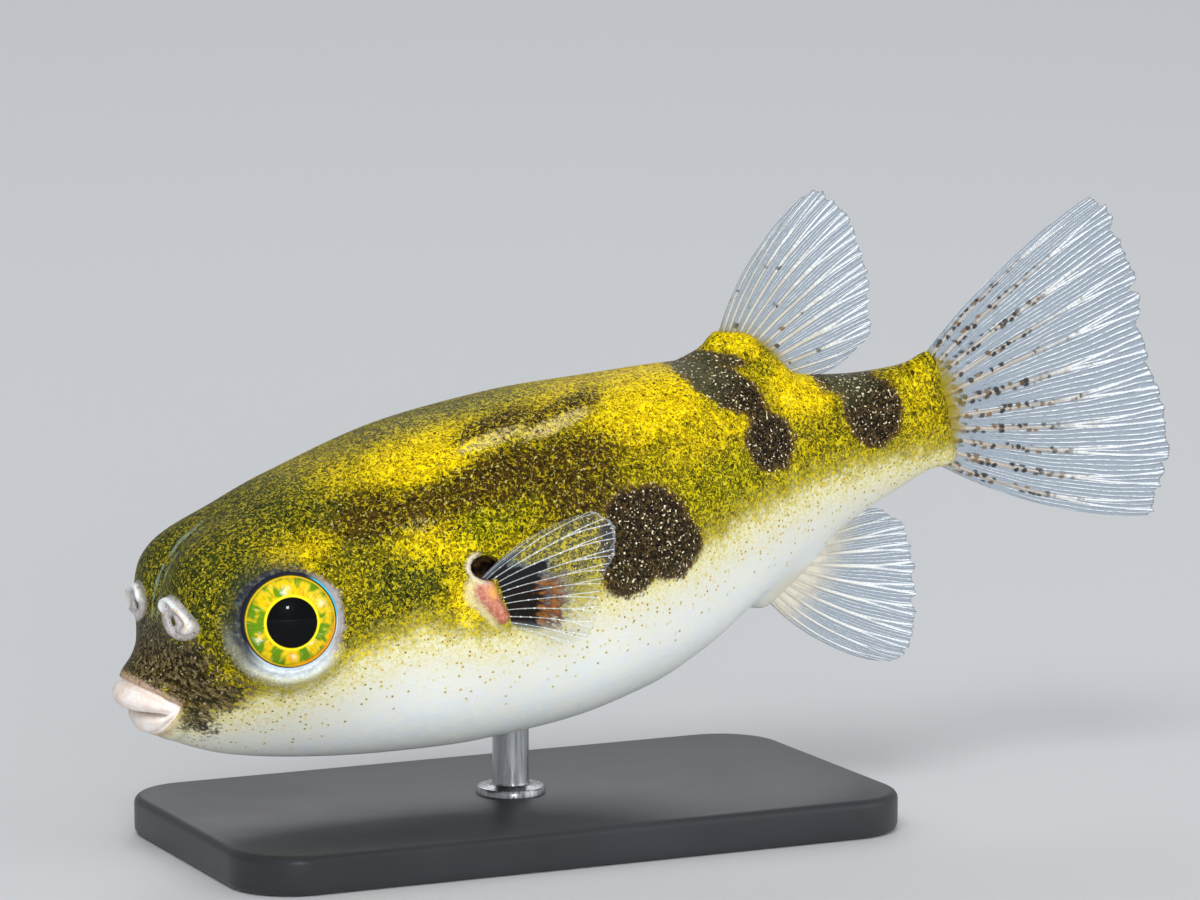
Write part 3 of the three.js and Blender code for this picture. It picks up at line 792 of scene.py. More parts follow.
def patch_field(points, patches):
    """Strength of a set of soft patches in the side view."""
    total = np.zeros(points.shape[:-1])
    for centre, half, strength in patches:
        a = (points[..., 0] - centre[0]) / half[0]
        b = (points[..., 2] - centre[1]) / half[1]
        total = np.maximum(total, strength * np.exp(-((a * a + b * b) ** 1.5) * 0.8))
    return total


def mark_skin(mesh, points, lip_share):
    """Stores where the markings lie, as fields that the skin's material sharpens and breaks up."""
    a, b, _ = eye_polar(points)
    x, z = points[..., 0], points[..., 2]
    flank = np.abs(points[..., 1]) > FLANK_FROM
    gill_x = GILL["centre"][0]
    add_attributes(mesh, {name: patch_field(points, patches) for name, patches in PATCHES.items()})
    add_attributes(mesh, {
        "blotch": blotch_field(points, BLOTCHES),
        "muzzle": blotch_field(points, MUZZLE),
        "belly": line_through(BELLY_EDGE)(x) - z,
        "lip": lip_share,
        "gill": np.where(flank, gill_share(points), -1),
        "gill_front": smooth_step(x, gill_x + 0.1, gill_x - 0.7),
        "fin_base": np.where(flank, fin_base_distance(points), 9),
        "brow": smooth_step(x, 9.0, 6.5) * (z > 3.6),
    })
    add_attributes(mesh, {"eye_place": np.stack([a, b, 0 * a], -1)}, "FLOAT_VECTOR", "vector")


def skin_grid():
    """Points of the skin by ring and column, and how much each ring belongs to the lips."""
    turn = body_columns()
    mouth = mouth_rings(turn)
    rings = mouth + face_rings(turn)
    rings += [body_point(x + 0 * turn, turn) for x in trunk_stations()]
    rings += tail_rings(turn)
    points = np.array(rings)
    counts = np.cumsum([count for *_, count in MOUTH_RINGS])
    ring = np.arange(len(points))
    lip = smooth_step(ring, counts[8], counts[8] - 3) * 0.4 + smooth_step(ring, counts[7], counts[6]) * 0.6
    return points, np.repeat(lip[:, None], COLUMNS, 1)


def build_skin(material):
    """One skin over head, lips, trunk and tail base, shaped from a sphere's rings."""
    rest, lip = skin_grid()
    points = round_the_eye(rest)
    points = points + grid_normals(points) * (flank_folds(rest) + muzzle_folds(rest))[..., None]
    rings = len(points)
    piece, mesh, ball = start_piece("skin", bpy.ops.mesh.primitive_uv_sphere_add, segments=COLUMNS,
                                    ring_count=rings + 1, radius=1)
    level = np.rint(np.arccos(np.clip(ball[:, 2], -1, 1)) / math.pi * (rings + 1)).astype(int)
    turn = np.arctan2(ball[:, 1], ball[:, 0]) / (2 * math.pi)
    column = np.rint(turn * COLUMNS).astype(int) % COLUMNS
    ring = np.clip(level - 1, 0, rings - 1)

    def spread(grid, first_pole, last_pole):
        """The grid's values at the mesh's points, with the two poles' own."""
        values = grid[ring, column]
        values[level == 0] = first_pole
        values[level > rings] = last_pole
        return values

    write_points(mesh, to_world(spread(points, points[0].mean(0), points[-1].mean(0))))
    mark_skin(mesh, spread(rest, rest[0].mean(0), rest[-1].mean(0)), spread(lip, 1.0, 0.0))
    mesh.uv_layers[0].name = "OFBake"
    close_surface()
    finish_piece(piece, material, "skin", "head", "trunk", "tail", "upper_lip", "lower_lip")


class PufferSkinSettings(bpy.types.PropertyGroup):
    """Colours of the skin."""
    olive: colour("Olive", "Ground colour of the back", "6c6206")
    gold: colour("Gold", "Bright patches of the back", "d2ae02")
    green: colour("Green", "Green patches of the flank", "656804")
    brown: colour("Brown", "Band along the flank", "463410")
    shade: colour("Shade", "Dark olive of the head", "3a4216")
    black: colour("Blotch", "Dark blotches", "100c0a")
    cream: colour("Cream", "Pale line along the band", "c0ae74")
    white: colour("Belly", "Belly and cheeks", "e6e9e4")
    lip: colour("Lip", "Both lips", "efe9e4")
    pink: colour("Fin base", "Fleshy base of the pectoral fin", "b5675a")
    relief: measure("Relief", "Height of the skin's fine grain", 0.00004, 0.0, 0.001)


class SkinNodes(Nodes):
    """The skin's nodes, with the place, the noises and the fields that its markings share."""

    def __init__(self, tree):
        super().__init__(tree)
        self.place = self.group(fish_place())
        self.wander = self.noise(self.place, 1.1, 3.0, 0.6)
        self.drift = self.wander - 0.5
        self.fine = self.noise(self.place, 4.5, 2.0, 0.6) - 0.5
        self.belly = self.attribute("belly")
        self.upper = 1.0 - self.belly.step(-2.4, -0.2)
        self.gold = self.field("gold", 0.05, 0.9, 1.3, 1.0)
        self.brown = self.field("brown", 0.1, 0.85, 0.8, 1.2)
        self.shade = self.field("shade", 0.05, 0.95, 0.8, 1.0)
        crowding = self.gold * 0.35 + self.brown * -0.3 + self.shade * -0.15 + 0.62
        self.flecks, self.specks, self.pricks = self.group(
            skin_flecks(), {"Place": self.place, "Length": FLECK_LENGTH, "Crowding": crowding},
            ("Flecks", "Specks", "Pricks"))

    def field(self, name, low, high, ragged, grain):
        """A stored field whose edge wanders and is finely broken up."""
        return (self.attribute(name) + self.drift * ragged + self.fine * grain).step(low, high)


def back_and_belly(skin, colours):
    """The mottled back with its flecks and the pale belly, with a yellowish edge between them."""
    ground = skin.blend(skin.gold, colours.olive, colours.gold)
    ground = ground.coat(colours.green, skin.field("green", 0.15, 0.9, 0.9, 0.6))
    ground = ground.coat(colours.brown, skin.brown)
    ground = ground.coat(colours.shade, skin.shade)
    ground = ground.coat(colours.cream, skin.field("cream", 0.2, 0.8, 0.5, 1.2))
    mottle = skin.noise(skin.place, 5.0, 2.0, 0.75).step(0.36, 0.6)
    now = ground.coat("171302", 1.0 - mottle, 0.65)
    edge = skin.belly + skin.drift * 2.0 + skin.fine * 2.6
    pale = skin.blend(skin.wander.step(0.38, 0.66), colours.white, "dfe6e8")
    # the white greys toward the back's edge: partly the skin's greyer cream there and partly painted shade
    pale = pale.coat("cfcdb9", (skin.belly + skin.drift).step(5.0, 0.6, 0.0, 0.8))
    now = now.coat("aaa04a", edge.step(-2.6, -0.9), 0.6)
    now = now.coat("dcdab4", edge.step(-1.3, 0.3), 0.9)
    now = now.coat(pale, edge.step(-0.6, 1.8))
    now = now.coat("161204", skin.pricks, skin.upper, 0.8)
    glow = skin.gold * 0.3 + skin.brown * -0.18 + skin.shade * -0.18 + 0.45
    shine = skin.blend(glow, ground, "ffe80e")
    return now.coat(shine, skin.flecks, 1.0 - skin.belly.step(-1.2, 2.4), 0.9)


def belly_spots(skin, now):
    """Dark and ochre spots with paler rings, most of them just below the back's edge."""
    near = skin.cells(skin.place, SPOTS_PER_MM)
    chance, tone, _ = skin.split(skin.cells(skin.place, SPOTS_PER_MM, "Color"))
    rarity = skin.belly.step(-1.2, 5.0, 0.15, 1.0)
    spot = skin.math("GREATER_THAN", chance, rarity) * skin.belly.step(-1.4, -0.4)
    now = now.coat("d2c062", near.step(0.46, 0.3), spot, 0.5)
    spot_colour = skin.blend(tone.step(0.35, 0.65), "2a241c", "9a7c34")
    return now.coat(spot_colour, near.step(0.25, 0.15), spot, 0.85)


def dark_blotches(skin, now, colours):
    """Nearly black blotches with brown rims, greyish green at their upper parts as painted sheen, and the
    pale specks.
    """
    blotch = skin.field("blotch", -0.2, 0.2, 1.0, 1.2)
    rim = blotch * (1.0 - skin.field("blotch", -0.05, 0.45, 1.0, 1.2))
    dark = skin.blend(skin.fine.step(0.0, 0.2), colours.black, "2b231e")
    dark = dark.coat("8a6f42", skin.flecks, 0.24)
    # greyish green painted sheen over the blotches' upper parts
    dark = dark.coat("4e543c", skin.attribute("blotch_sheen"), skin.wander.step(0.3, 0.6, 0.25, 0.6))
    now = now.coat(dark, blotch, 0.98)
    now = now.coat("7a5a2c", rim, 0.35)
    speck_colour = skin.blend(blotch + skin.brown * 0.5, "ffee5c", "f4e8c4")
    return now.coat(speck_colour, skin.specks, skin.upper * 0.6 + blotch, 0.75)


def muzzle_and_lips(skin, now, colours):
    """The dark muzzle with streaks that run back and down, the fold by the mouth and the lips."""
    _, _, upward = skin.split(skin.place)
    turned = skin.add("ShaderNodeMapping", {"Vector": skin.place, "Rotation": (0.0, STREAK_TURN, 0.0)})
    streak = skin.noise(skin.vector("MULTIPLY", turned, STREAK_STRETCH), 1.5, 3.0, 0.65)
    inside = skin.attribute("muzzle") + skin.drift * 1.8 + (streak - 0.5) * 1.8 + skin.fine * 2.6
    dark = skin.blend(streak.step(0.44, 0.6), "14100c", "5c4e36")
    dark = dark.coat("353a34", upward.step(1.6, 3.6, 0.0, 0.6))
    dark = dark.coat("d8c9a4", skin.specks, 0.6)
    dark = dark.coat("8c7d50", skin.flecks, streak.step(0.45, 0.6), 0.5)
    now = now.coat(dark, inside.step(-0.45, 0.45), 0.95)
    lip = skin.attribute("lip")
    fold = (lip + skin.fine * 1.1 + skin.drift * 0.9).step(0.02, 0.5) * lip.step(0.0, 0.1)
    now = now.coat("cbae98", fold, 0.7)
    lip_colour = skin.blend(skin.wander.step(0.35, 0.65), colours.lip, "e6d5c8")
    return now.coat(lip_colour, lip.step(0.45, 0.8))


def skin_round_eyes(skin, now):
    """A ring round each eye, dark above as painted shade and pale below, with painted shadow ahead of it and
    above, and paler skin ahead of it and below.
    """
    eye_place = skin.attribute("eye_place", "Vector")
    a, b, _ = skin.split(eye_place)
    off_centre = a + RING_SHIFT
    reach = skin.math("SQRT", off_centre * off_centre + b * b) + skin.drift * 0.7 + skin.fine * 0.5
    above = (b + a * -0.75).step(-1.4, 1.4)
    low_front = (b + a * 0.5).step(-0.4, -2.4)
    shadow_side = (b + a * -1.2).step(0.6, 3.2)
    ring = (reach + above * 0.2).step(3.55, 3.15) * above.step(0.0, 1.0, 0.95, 0.75)
    # the ring's dark upper half is painted shade of the skin fold over the eye
    shaded_ring_colour = skin.blend(above, "d3dde2", "262b40")
    shaded_ring_colour = shaded_ring_colour.coat("8d9a94", skin.noise(eye_place, 2.4, 2.0).step(0.5, 0.65), 0.35)
    shaded_ring_colour = shaded_ring_colour.coat("938488", a.step(1.2, 2.6), 0.75)
    now = now.coat("d6dcd8", reach.step(4.0, 3.4), low_front, 0.45)
    # painted shadow on the skin ahead of the eye and above it
    now = now.coat("2e3630", reach.step(4.3, 3.3), shadow_side, 0.6)
    return now.coat(shaded_ring_colour, ring)


def brow_and_fin_foot(skin, now):
    """The two pale lines down the brow and the pale skin where the anal fin starts."""
    _, across, _ = skin.split(skin.place)
    line = (abs(abs(across) - BROW_LINE_OUT) + skin.drift * 0.8).step(0.2, 0.06)
    now = now.coat("8fa89a", line, skin.attribute("brow"), 0.5)
    return now.coat("d4cdb9", skin.distance(skin.place, ANAL_FIN_START).step(3.4, 1.6), 0.75)


def gill_and_fin_base(skin, now, colours):
    """The pink base of the pectoral fin with a lit spot, and the gill hole with its pale rim; the hole's dark
    brown is painted shade.
    """
    base = skin.attribute("fin_base") + skin.fine * 0.5
    ahead = skin.attribute("gill_front")
    now = now.coat("ddd2a6", base.step(1.5, 0.95), ahead, 0.75)
    flesh = skin.blend(skin.fine.step(-0.1, 0.12), colours.pink, "cf8a78")
    flesh = flesh.coat("f2b060", skin.distance(skin.place, FIN_BASE_LIT).step(0.75, 0.2), 0.85)
    now = now.coat(flesh, base.step(0.92, 0.45), 0.9)
    gill = skin.attribute("gill") + skin.fine * 0.55
    now = now.coat("d9ceb4", gill.step(-0.5, -0.25), 0.9, ahead)
    # painted shade: the gill opening is a shallow dent, coloured near black for the shaded chamber inside
    gill_hole_shade = gill.step(-0.14, 0.1)
    return now.coat(skin.blend(skin.wander.step(0.4, 0.7), "120c08", "4a3520"), gill_hole_shade), gill_hole_shade


def skin_material(colours):
    material, skin = new_material("pufferfish skin", SkinNodes)
    now = back_and_belly(skin, colours)
    now = belly_spots(skin, now)
    now = dark_blotches(skin, now, colours)
    now = muzzle_and_lips(skin, now, colours)
    now = skin_round_eyes(skin, now)
    now = brow_and_fin_foot(skin, now)
    now, gill_hole_shade = gill_and_fin_base(skin, now, colours)
    grain = skin.group(wet_grain(), {"Place": skin.place, "Size": 0.26})
    height = (grain + skin.flecks * 0.45) * skin.belly.step(-1.5, 0.8, 1.0, 0.3)
    rough = skin.wander.step(0.3, 0.7, 0.38, 0.5).most(gill_hole_shade * 0.9)
    return finished(material, skin, Base_Color=now, Roughness=rough, Coat_Weight=(1.0 - gill_hole_shade) * 0.03,
                    Coat_Roughness=0.2, Specular_IOR_Level=0.04,
                    Normal=skin.relief(height, colours.relief / MM))


class PUFFER_OT_skin(bpy.types.Operator):
    """Build the skin over head, lips, trunk and tail base"""
    bl_idname = "puffer.skin"
    bl_label = "Skin"

    def execute(self, context):
        build_skin(skin_material(context.scene.puffer_skin))
        return {"FINISHED"}


# ================================================================== eyes
class PufferEyeSettings(bpy.types.PropertyGroup):
    """Colours and sizes of the eyes."""
    pupil: measure("Pupil radius", "Radius of the black pupil", 0.00147, 0.0005, 0.0025)
    iris: measure("Iris radius", "Outer radius of the gold iris", 0.00266, 0.0015, 0.003)
    gold: colour("Gold", "Ground colour of the iris", "e2c00c")
    green: colour("Green", "Green patches of the iris", "5d8a0c")


def iris_colour(nodes, settings, place, patches):
    """Gold and green patches with fine spokes, bright glints and coloured edges."""
    a, b, _ = nodes.split(place)
    reach = nodes.vector("LENGTH", place, out="Value")
    pupil, edge = settings.pupil / MM, settings.iris / MM
    toward = nodes.vector("NORMALIZE", place)
    spokes = nodes.noise(nodes.vector("MULTIPLY_ADD", toward, (9.0, 9.0, 9.0), place), 1.6, 2.0)
    fleck = nodes.noise(place, 3.2, 3.0, 0.65)
    iris = nodes.blend(patches.step(0.44, 0.55), settings.gold, settings.green)
    iris = iris.coat("eda21a", patches.step(0.42, 0.3), 0.7)
    iris = iris.coat("fff0a0", spokes.step(0.58, 0.74), 0.4)
    iris = iris.coat("5c5a10", spokes.step(0.44, 0.3), 0.4)
    iris = iris.coat("6b6a08", fleck.step(0.5, 0.36), 0.35)
    for *centre, size in IRIS_GLINTS:
        gap = nodes.distance(place, (*centre, 0.0)) + fleck * 1.1
        iris = iris.coat("fffbdc", gap.step(size + 0.6, 0.5), 0.6)
    low = (a * 0.55 + b * -0.85).step(1.5, 2.4)
    iris = iris.coat("f08c1c", low, reach.step(edge - 0.36, edge - 0.1), 0.9)
    iris = iris.coat("3f6a12", reach.step(edge - 0.36, edge), low.step(0.6, 0.1), 0.6)
    iris = iris.coat("f6e01c", reach.step(pupil + 0.18, pupil + 0.1))
    return iris.coat("e9b21c", abs(reach - (edge - 0.09)).step(0.06, 0.02), 0.8)


def eye_material(settings):
    """The black pupil, the iris and the white, which is navy above as painted shade of the fold over it and
    light blue behind.
    """
    material, nodes = new_material("pufferfish eye")
    place = nodes.attribute("eye_place", "Vector")
    a, b, _ = nodes.split(place)
    reach = nodes.vector("LENGTH", place, out="Value")
    pupil, edge = settings.pupil / MM, settings.iris / MM
    toward = nodes.vector("NORMALIZE", place)
    patches = nodes.noise(nodes.vector("MULTIPLY_ADD", toward, (1.4, 1.4, 1.4), place), 0.62, 2.0, 0.6, 0.3)
    eye = iris_colour(nodes, settings, place, patches)
    eye = eye.coat("010203", reach.step(pupil + 0.03, pupil - 0.03))
    eye = eye.coat("2a2208", reach.step(edge - 0.05, edge))
    # the white's navy upper part is painted shade
    white = nodes.blend((b + a * -0.6).step(-0.8, 1.4), "cfe0ea", "23263c")
    white = white.coat("3fc4e2", a.step(1.6, 2.3), b.step(-0.9, -0.1))
    eye = eye.coat(white, reach.step(edge + 0.02, edge + 0.07))
    return finished(material, nodes, Base_Color=eye, Roughness=patches.step(0.3, 0.7, 0.25, 0.4),
                    Coat_Weight=1.0, Coat_Roughness=0.03, Coat_IOR=1.22, Specular_IOR_Level=0.05,
                    Normal=nodes.relief(nodes.noise(place, 5.0, 2.0), 0.008))


def build_eye(side_name, side, material):
    """A flattened dome, with its place round the eye's axis stored for the iris."""
    piece, mesh, ball = start_piece(f"eye_{side_name}_ball", bpy.ops.mesh.primitive_uv_sphere_add,
                                    segments=EYE_COLUMNS, ring_count=EYE_RINGS, radius=1)
    radius, depth = EYE["radius"] - EYE_MARGIN, EYE["depth"] - EYE_MARGIN
    a, b, height = ball[:, 0] * radius, ball[:, 1] * radius, ball[:, 2] * depth
    centre, out, tail, up = eye_frame(side)
    write_points(mesh, to_world(centre + a[:, None] * tail + b[:, None] * up + height[:, None] * out))
    add_attributes(mesh, {"eye_place": np.stack([a, b, 0 * a], -1)}, "FLOAT_VECTOR", "vector")
    close_surface()
    finish_piece(piece, material, "eye", f"eye_{side_name}")


class PUFFER_OT_eyes(bpy.types.Operator):
    """Build both eyes"""
    bl_idname = "puffer.eyes"
    bl_label = "Eyes"

    def execute(self, context):
        material = eye_material(context.scene.puffer_eyes)
        for side_name, side in SIDES.items():
            build_eye(side_name, side, material)
        return {"FINISHED"}


# ================================================================== nasal flaps
def flap_material():
    material, nodes = new_material("nasal flap")
    place = nodes.group(fish_place())
    mottle = nodes.noise(place, 2.2, 3.0, 0.6)
    fine = nodes.noise(place, 5.0, 2.0, 0.6)
    now = nodes.blend(mottle.step(0.35, 0.65), "aaa29e", "d6cfcc")
    now = now.coat("4a403c", fine.step(0.56, 0.68), 0.7)
    now = now.coat("e2e6e5", nodes.attribute("rim").step(0.3, 0.8))
    # painted highlight along part of the flap's rim
    now = now.coat("d0a04a", (nodes.attribute("lit_rim") + fine).step(1.2, 1.5), 0.5)
    # painted shade in the flap's pit
    now = now.coat("2b2426", nodes.attribute("pit").step(0.45, 0.9), 0.85)
    now = now.coat("5e604a", (nodes.attribute("skirt") + mottle * 0.6).step(1.02, 1.25), 0.85)
    grain = nodes.group(wet_grain(), {"Place": place, "Size": 0.22})
    return finished(material, nodes, Base_Color=now, Roughness=mottle.step(0.3, 0.7, 0.36, 0.5),
                    Coat_Weight=0.15, Coat_Roughness=0.2, Specular_IOR_Level=0.3,
                    Normal=nodes.relief(grain, 0.03))


def build_flap(side_name, side, material):
    """A low ear-shaped fold with a pale raised rim round a pit, lying on the face."""
    piece, mesh, ball = start_piece(f"nasal_flap_{side_name}", bpy.ops.mesh.primitive_uv_sphere_add,
                                    segments=FLAP_COLUMNS, ring_count=FLAP_RINGS, radius=1)
    front = ball[:, 2] > 0
    spread = np.arccos(np.clip(np.abs(ball[:, 2]), 0, 1)) / (math.pi / 2)
    turn = np.arctan2(ball[:, 1], ball[:, 0])
    across, up = spread * np.cos(turn), spread * np.sin(turn)
    y = FLAP["y"] + FLAP["across"] * across * (1 - FLAP["taper"] * up)
    z = FLAP["z"] + FLAP["up"] * up - FLAP["droop"] * across
    rim = bell(spread, 0.66 + 0.06 * np.sin(3 * turn + 1), 0.14)
    rim = rim * smooth_step(np.sin(turn + 0.35), -0.75, 0.1)
    pit = np.exp(-(((across + 0.12) / 0.26) ** 2 + ((up + 0.12) / 0.34) ** 2))
    dome = 1 - spread ** 2
    lumps = FLAP["lumps"] * np.sin(5 * across + 2) * np.cos(6 * up) * (1 - spread)
    raised = FLAP["mound"] * dome + FLAP["rim"] * rim - FLAP["pit"] * pit + lumps
    height = np.where(front, raised, FLAP["foot"] * dome - 0.05)
    lean = FLAP["lean"] * rim * front
    points = np.stack([face_at(y, z) + 0.05 - height, side * (y + lean * across), z + lean * (0.3 + up)], -1)
    write_points(mesh, to_world(points))
    add_attributes(mesh, {"pit": pit * front, "rim": rim * front, "skirt": spread,
                          "lit_rim": rim * front * smooth_step(across, 0.0, 0.4)})
    close_surface()
    finish_piece(piece, material, "nasal_flap", f"nostril_{side_name}")


class PUFFER_OT_nasal_flaps(bpy.types.Operator):
    """Build both nasal flaps"""
    bl_idname = "puffer.nasal_flaps"
    bl_label = "Nasal flaps"

    def execute(self, context):
        material = flap_material()
        for side_name, side in SIDES.items():
            build_flap(side_name, side, material)
        return {"FINISHED"}


# ================================================================== fins
def spline(points, share):
    """Places along a smooth curve through a few points, share 0 to 1."""
    points = np.array(points, float)
    padded = np.vstack([2 * points[0] - points[1], points, 2 * points[-1] - points[-2]])
    along = np.clip(np.asarray(share) * (len(points) - 1), 0, len(points) - 1 - 1e-9)
    i = along.astype(int)
    return catmull_rom(*[padded[i + k] for k in range(4)], (along - i)[..., None])


def ray_pattern(s, r, rays, forks, widths):
    """How much each place lies on a ray, 0 to 1; rays fork on their way out."""
    index = np.clip((s * rays).astype(int), 0, rays - 1)
    local = s * rays - index - 0.5
    split = FORK_SPLIT * np.clip((r - forks[index]) / (1 - forks[index]), 0, 1)
    rest = local - np.where(local >= 0, 1, -1) * split
    return np.exp(-((rest / widths) ** 2))


def frayed(fin, s, random):
    """How far each ray's tip stands out or falls short: coarse and fine jags, and lobes."""
    rays = fin["rays"]
    jags = [np.interp(s * rays * n, np.arange(rays * n + 1), random.random(rays * n + 1)) - 0.5
            for n in (1, 4, 9)]
    lobes = np.abs(np.sin(math.pi * s * rays)) ** 0.5 - 0.75
    return np.minimum(1.1 * jags[0] + 1.0 * jags[1] + 0.8 * jags[2] - 0.25 + fin["lobes"] * lobes, 0.4)


def build_fin(name, fin, node, material, placed):
    """A thin closed sheet with raised forked rays and a frayed edge.

    s runs from the first ray to the last and r from the root to the edge, both 0 to 1.
    """
    rays = fin["rays"]
    columns = fin["columns"] * rays
    random = np.random.default_rng(fin["seed"])
    forks = fin["fork_from"] + FORK_RANGE * random.random(rays)
    piece, mesh, sheet = start_piece(name, bpy.ops.mesh.primitive_grid_add, x_subdivisions=2 * columns,
                                     y_subdivisions=fin["rows"], size=2, calc_uvs=True)
    round_share, r = (sheet[:, 0] + 1) / 2, (sheet[:, 1] + 1) / 2
    face = np.where(round_share <= 0.5, 1, -1)
    s = np.where(round_share <= 0.5, 2 * round_share, 2 - 2 * round_share)
    root = spline(fin["root"], s)
    along = spline(fin["edge"], s) - root
    length = np.linalg.norm(along, axis=1)
    edge_line = spline(fin["edge"], np.linspace(0, 1, columns))
    span = np.linalg.norm(np.diff(edge_line, axis=0), axis=1).sum()
    root_span = np.linalg.norm(np.array(fin["root"][0]) - fin["root"][-1])
    spacing = np.maximum(lerp(root_span, span, r) / rays, 0.05)
    ray = ray_pattern(s, r, rays, forks, np.clip(lerp(*fin["ray_width"], r) / spacing, 0.03, 0.3))
    reach = r * (1 + fin["tips"] * frayed(fin, s, random) / length * r ** 3)
    across = np.stack([-along[:, 1], along[:, 0]], -1) / length[:, None]
    bend = 4 * r * (1 - r) * lerp(*fin["bow"], s)
    wobble = 0.05 * np.sin(s * rays * 2.1 + fin["seed"]) * np.sin(r * 9 + s * 20) * r
    flat = root + along * reach[:, None] + across * (bend + wobble)[:, None]
    half = lerp(fin["thick"] / 2, EDGE_HALF_THICKNESS, smooth_step(r, -0.3, 0.4) * 0.8 + 0.2 * r)
    half = half * 0.6 + ray * lerp(*fin["ray_height"], r)
    closed = np.minimum(np.minimum(s, 1 - s) * rays / 0.12, 1) * np.minimum((1 - r) / 0.012, 1)
    wave = FIN_SWAY * r * np.sin(s * 7 + r * 3 + fin["seed"])
    side = face * half * np.sqrt(np.clip(closed, 0, 1)) + wave
    write_points(mesh, to_world(placed(flat[:, 0], flat[:, 1], side)))
    add_attributes(mesh, {"ray": ray, "beside_ray": ((s * rays) % 1 - 0.5) * spacing})
    add_attributes(mesh, {"fan_place": np.stack([s * rays, r, reach * length], -1)}, "FLOAT_VECTOR", "vector")
    mesh.uv_layers[0].name = "OFBake"
    close_surface(merge=1e-7)
    finish_piece(piece, material, "fin", node)


def upright(u, v, side):
    return np.stack([u, side, v], -1)


def spread_fin(side_of_body):
    """Puts a pectoral fin, drawn flat, at its root and turned out from the flank."""
    def placed(u, v, side):
        c, s = math.cos(PECTORAL_SPREAD), math.sin(PECTORAL_SPREAD)
        out = side + 0.02 * v * v
        x = PECTORAL_ROOT[0] + u * c + out * s
        y = PECTORAL_ROOT[1] + u * s - out * c
        return np.stack([x, side_of_body * y, PECTORAL_ROOT[2] + v], -1)
    return placed


@node_group({"Web": (COLOUR, (0.3, 0.36, 0.4, 1)), "Ray": (COLOUR, (0.8, 0.83, 0.85, 1)),
             "Shadow": (COLOUR, (0.15, 0.2, 0.27, 1)), "Lines": (FLOAT, 5.0), "Line Cover": (FLOAT, 1.0),
             "Web Cover": (FLOAT, 0.3), "Ray Cover": (FLOAT, 0.85)},
            {"Color": COLOUR, "Cover": FLOAT, "Height": FLOAT})
def fin_web(nodes, start):
    """Colour and cover of a ray fin: pale rays and fine branch lines over a clear web, each line lit as a
    ridge with a painted highlight and a painted shadow beside it.
    """
    ray = nodes.attribute("ray")
    s, r, length = nodes.split(nodes.attribute("fan_place", "Vector"))
    bend = nodes.noise(nodes.join(s * 1.1, length * 0.3, 0.0), 1.0, 1.0)
    branch = s * start["Lines"] + bend * 0.9
    own = nodes.chance(branch.floor())
    part = nodes.math("FRACT", branch)
    shown = (r - own * 0.45).step(0.02, 0.16)
    glint = nodes.noise(nodes.join(own * 37.0, length * 1.3, 0.0), 1.0, 2.0, 0.7)
    # each fine line is the pale branch ray with a painted highlight along it
    line = abs(part - 0.45).step(0.2, 0.05) * shown * glint.step(0.3, 0.62, 0.3, 1.0) * start["Line Cover"]
    # painted shadow beside each fine line
    line_shadow = abs(part - 0.72).step(0.16, 0.04) * shown * glint.step(0.3, 0.55)
    joint = nodes.math("PINGPONG", length + own * 0.3, 0.16).step(0.015, 0.05)
    on_ray = ray.step(0.3, 0.7)
    web = nodes.blend(line_shadow * 0.55, start["Web"], start["Shadow"])
    web = web.coat(start["Ray"], line)
    jointed = nodes.blend((1.0 - joint) * 0.3, start["Ray"], start["Web"])
    between = nodes.math("MINIMUM", start["Web Cover"] + line * 0.45 + line_shadow * 0.05, 0.95)
    cover = nodes.add("ShaderNodeMix", {0: on_ray, 2: between, 3: start["Ray Cover"]})
    return web.coat(jointed, on_ray), cover, joint * ray * 0.4 + line


class PufferFinSettings(bpy.types.PropertyGroup):
    """Colours and cover of the fins."""
    web: colour("Web", "Skin between the rays", "8697a6")
    ray: colour("Ray", "Rays", "eef3f6")
    shadow: colour("Shadow", "Thin dark lines beside the rays", "4c6074")
    cover: bpy.props.FloatProperty(name="Web cover", description="How much of the light the web stops",
                                   default=0.46, min=0.0, max=1.0, subtype="FACTOR")


def start_fin_material(name, settings, web_cover, ray_cover, lines, line_cover):
    """A material's nodes with what all fins share: the web's colour, cover and height."""
    material, nodes = new_material(name)
    inputs = {"Web": settings.web, "Ray": settings.ray, "Shadow": settings.shadow, "Lines": lines,
              "Line Cover": line_cover, "Web Cover": web_cover, "Ray Cover": ray_cover}
    return material, nodes, nodes.group(fin_web(), inputs, ("Color", "Cover", "Height"))


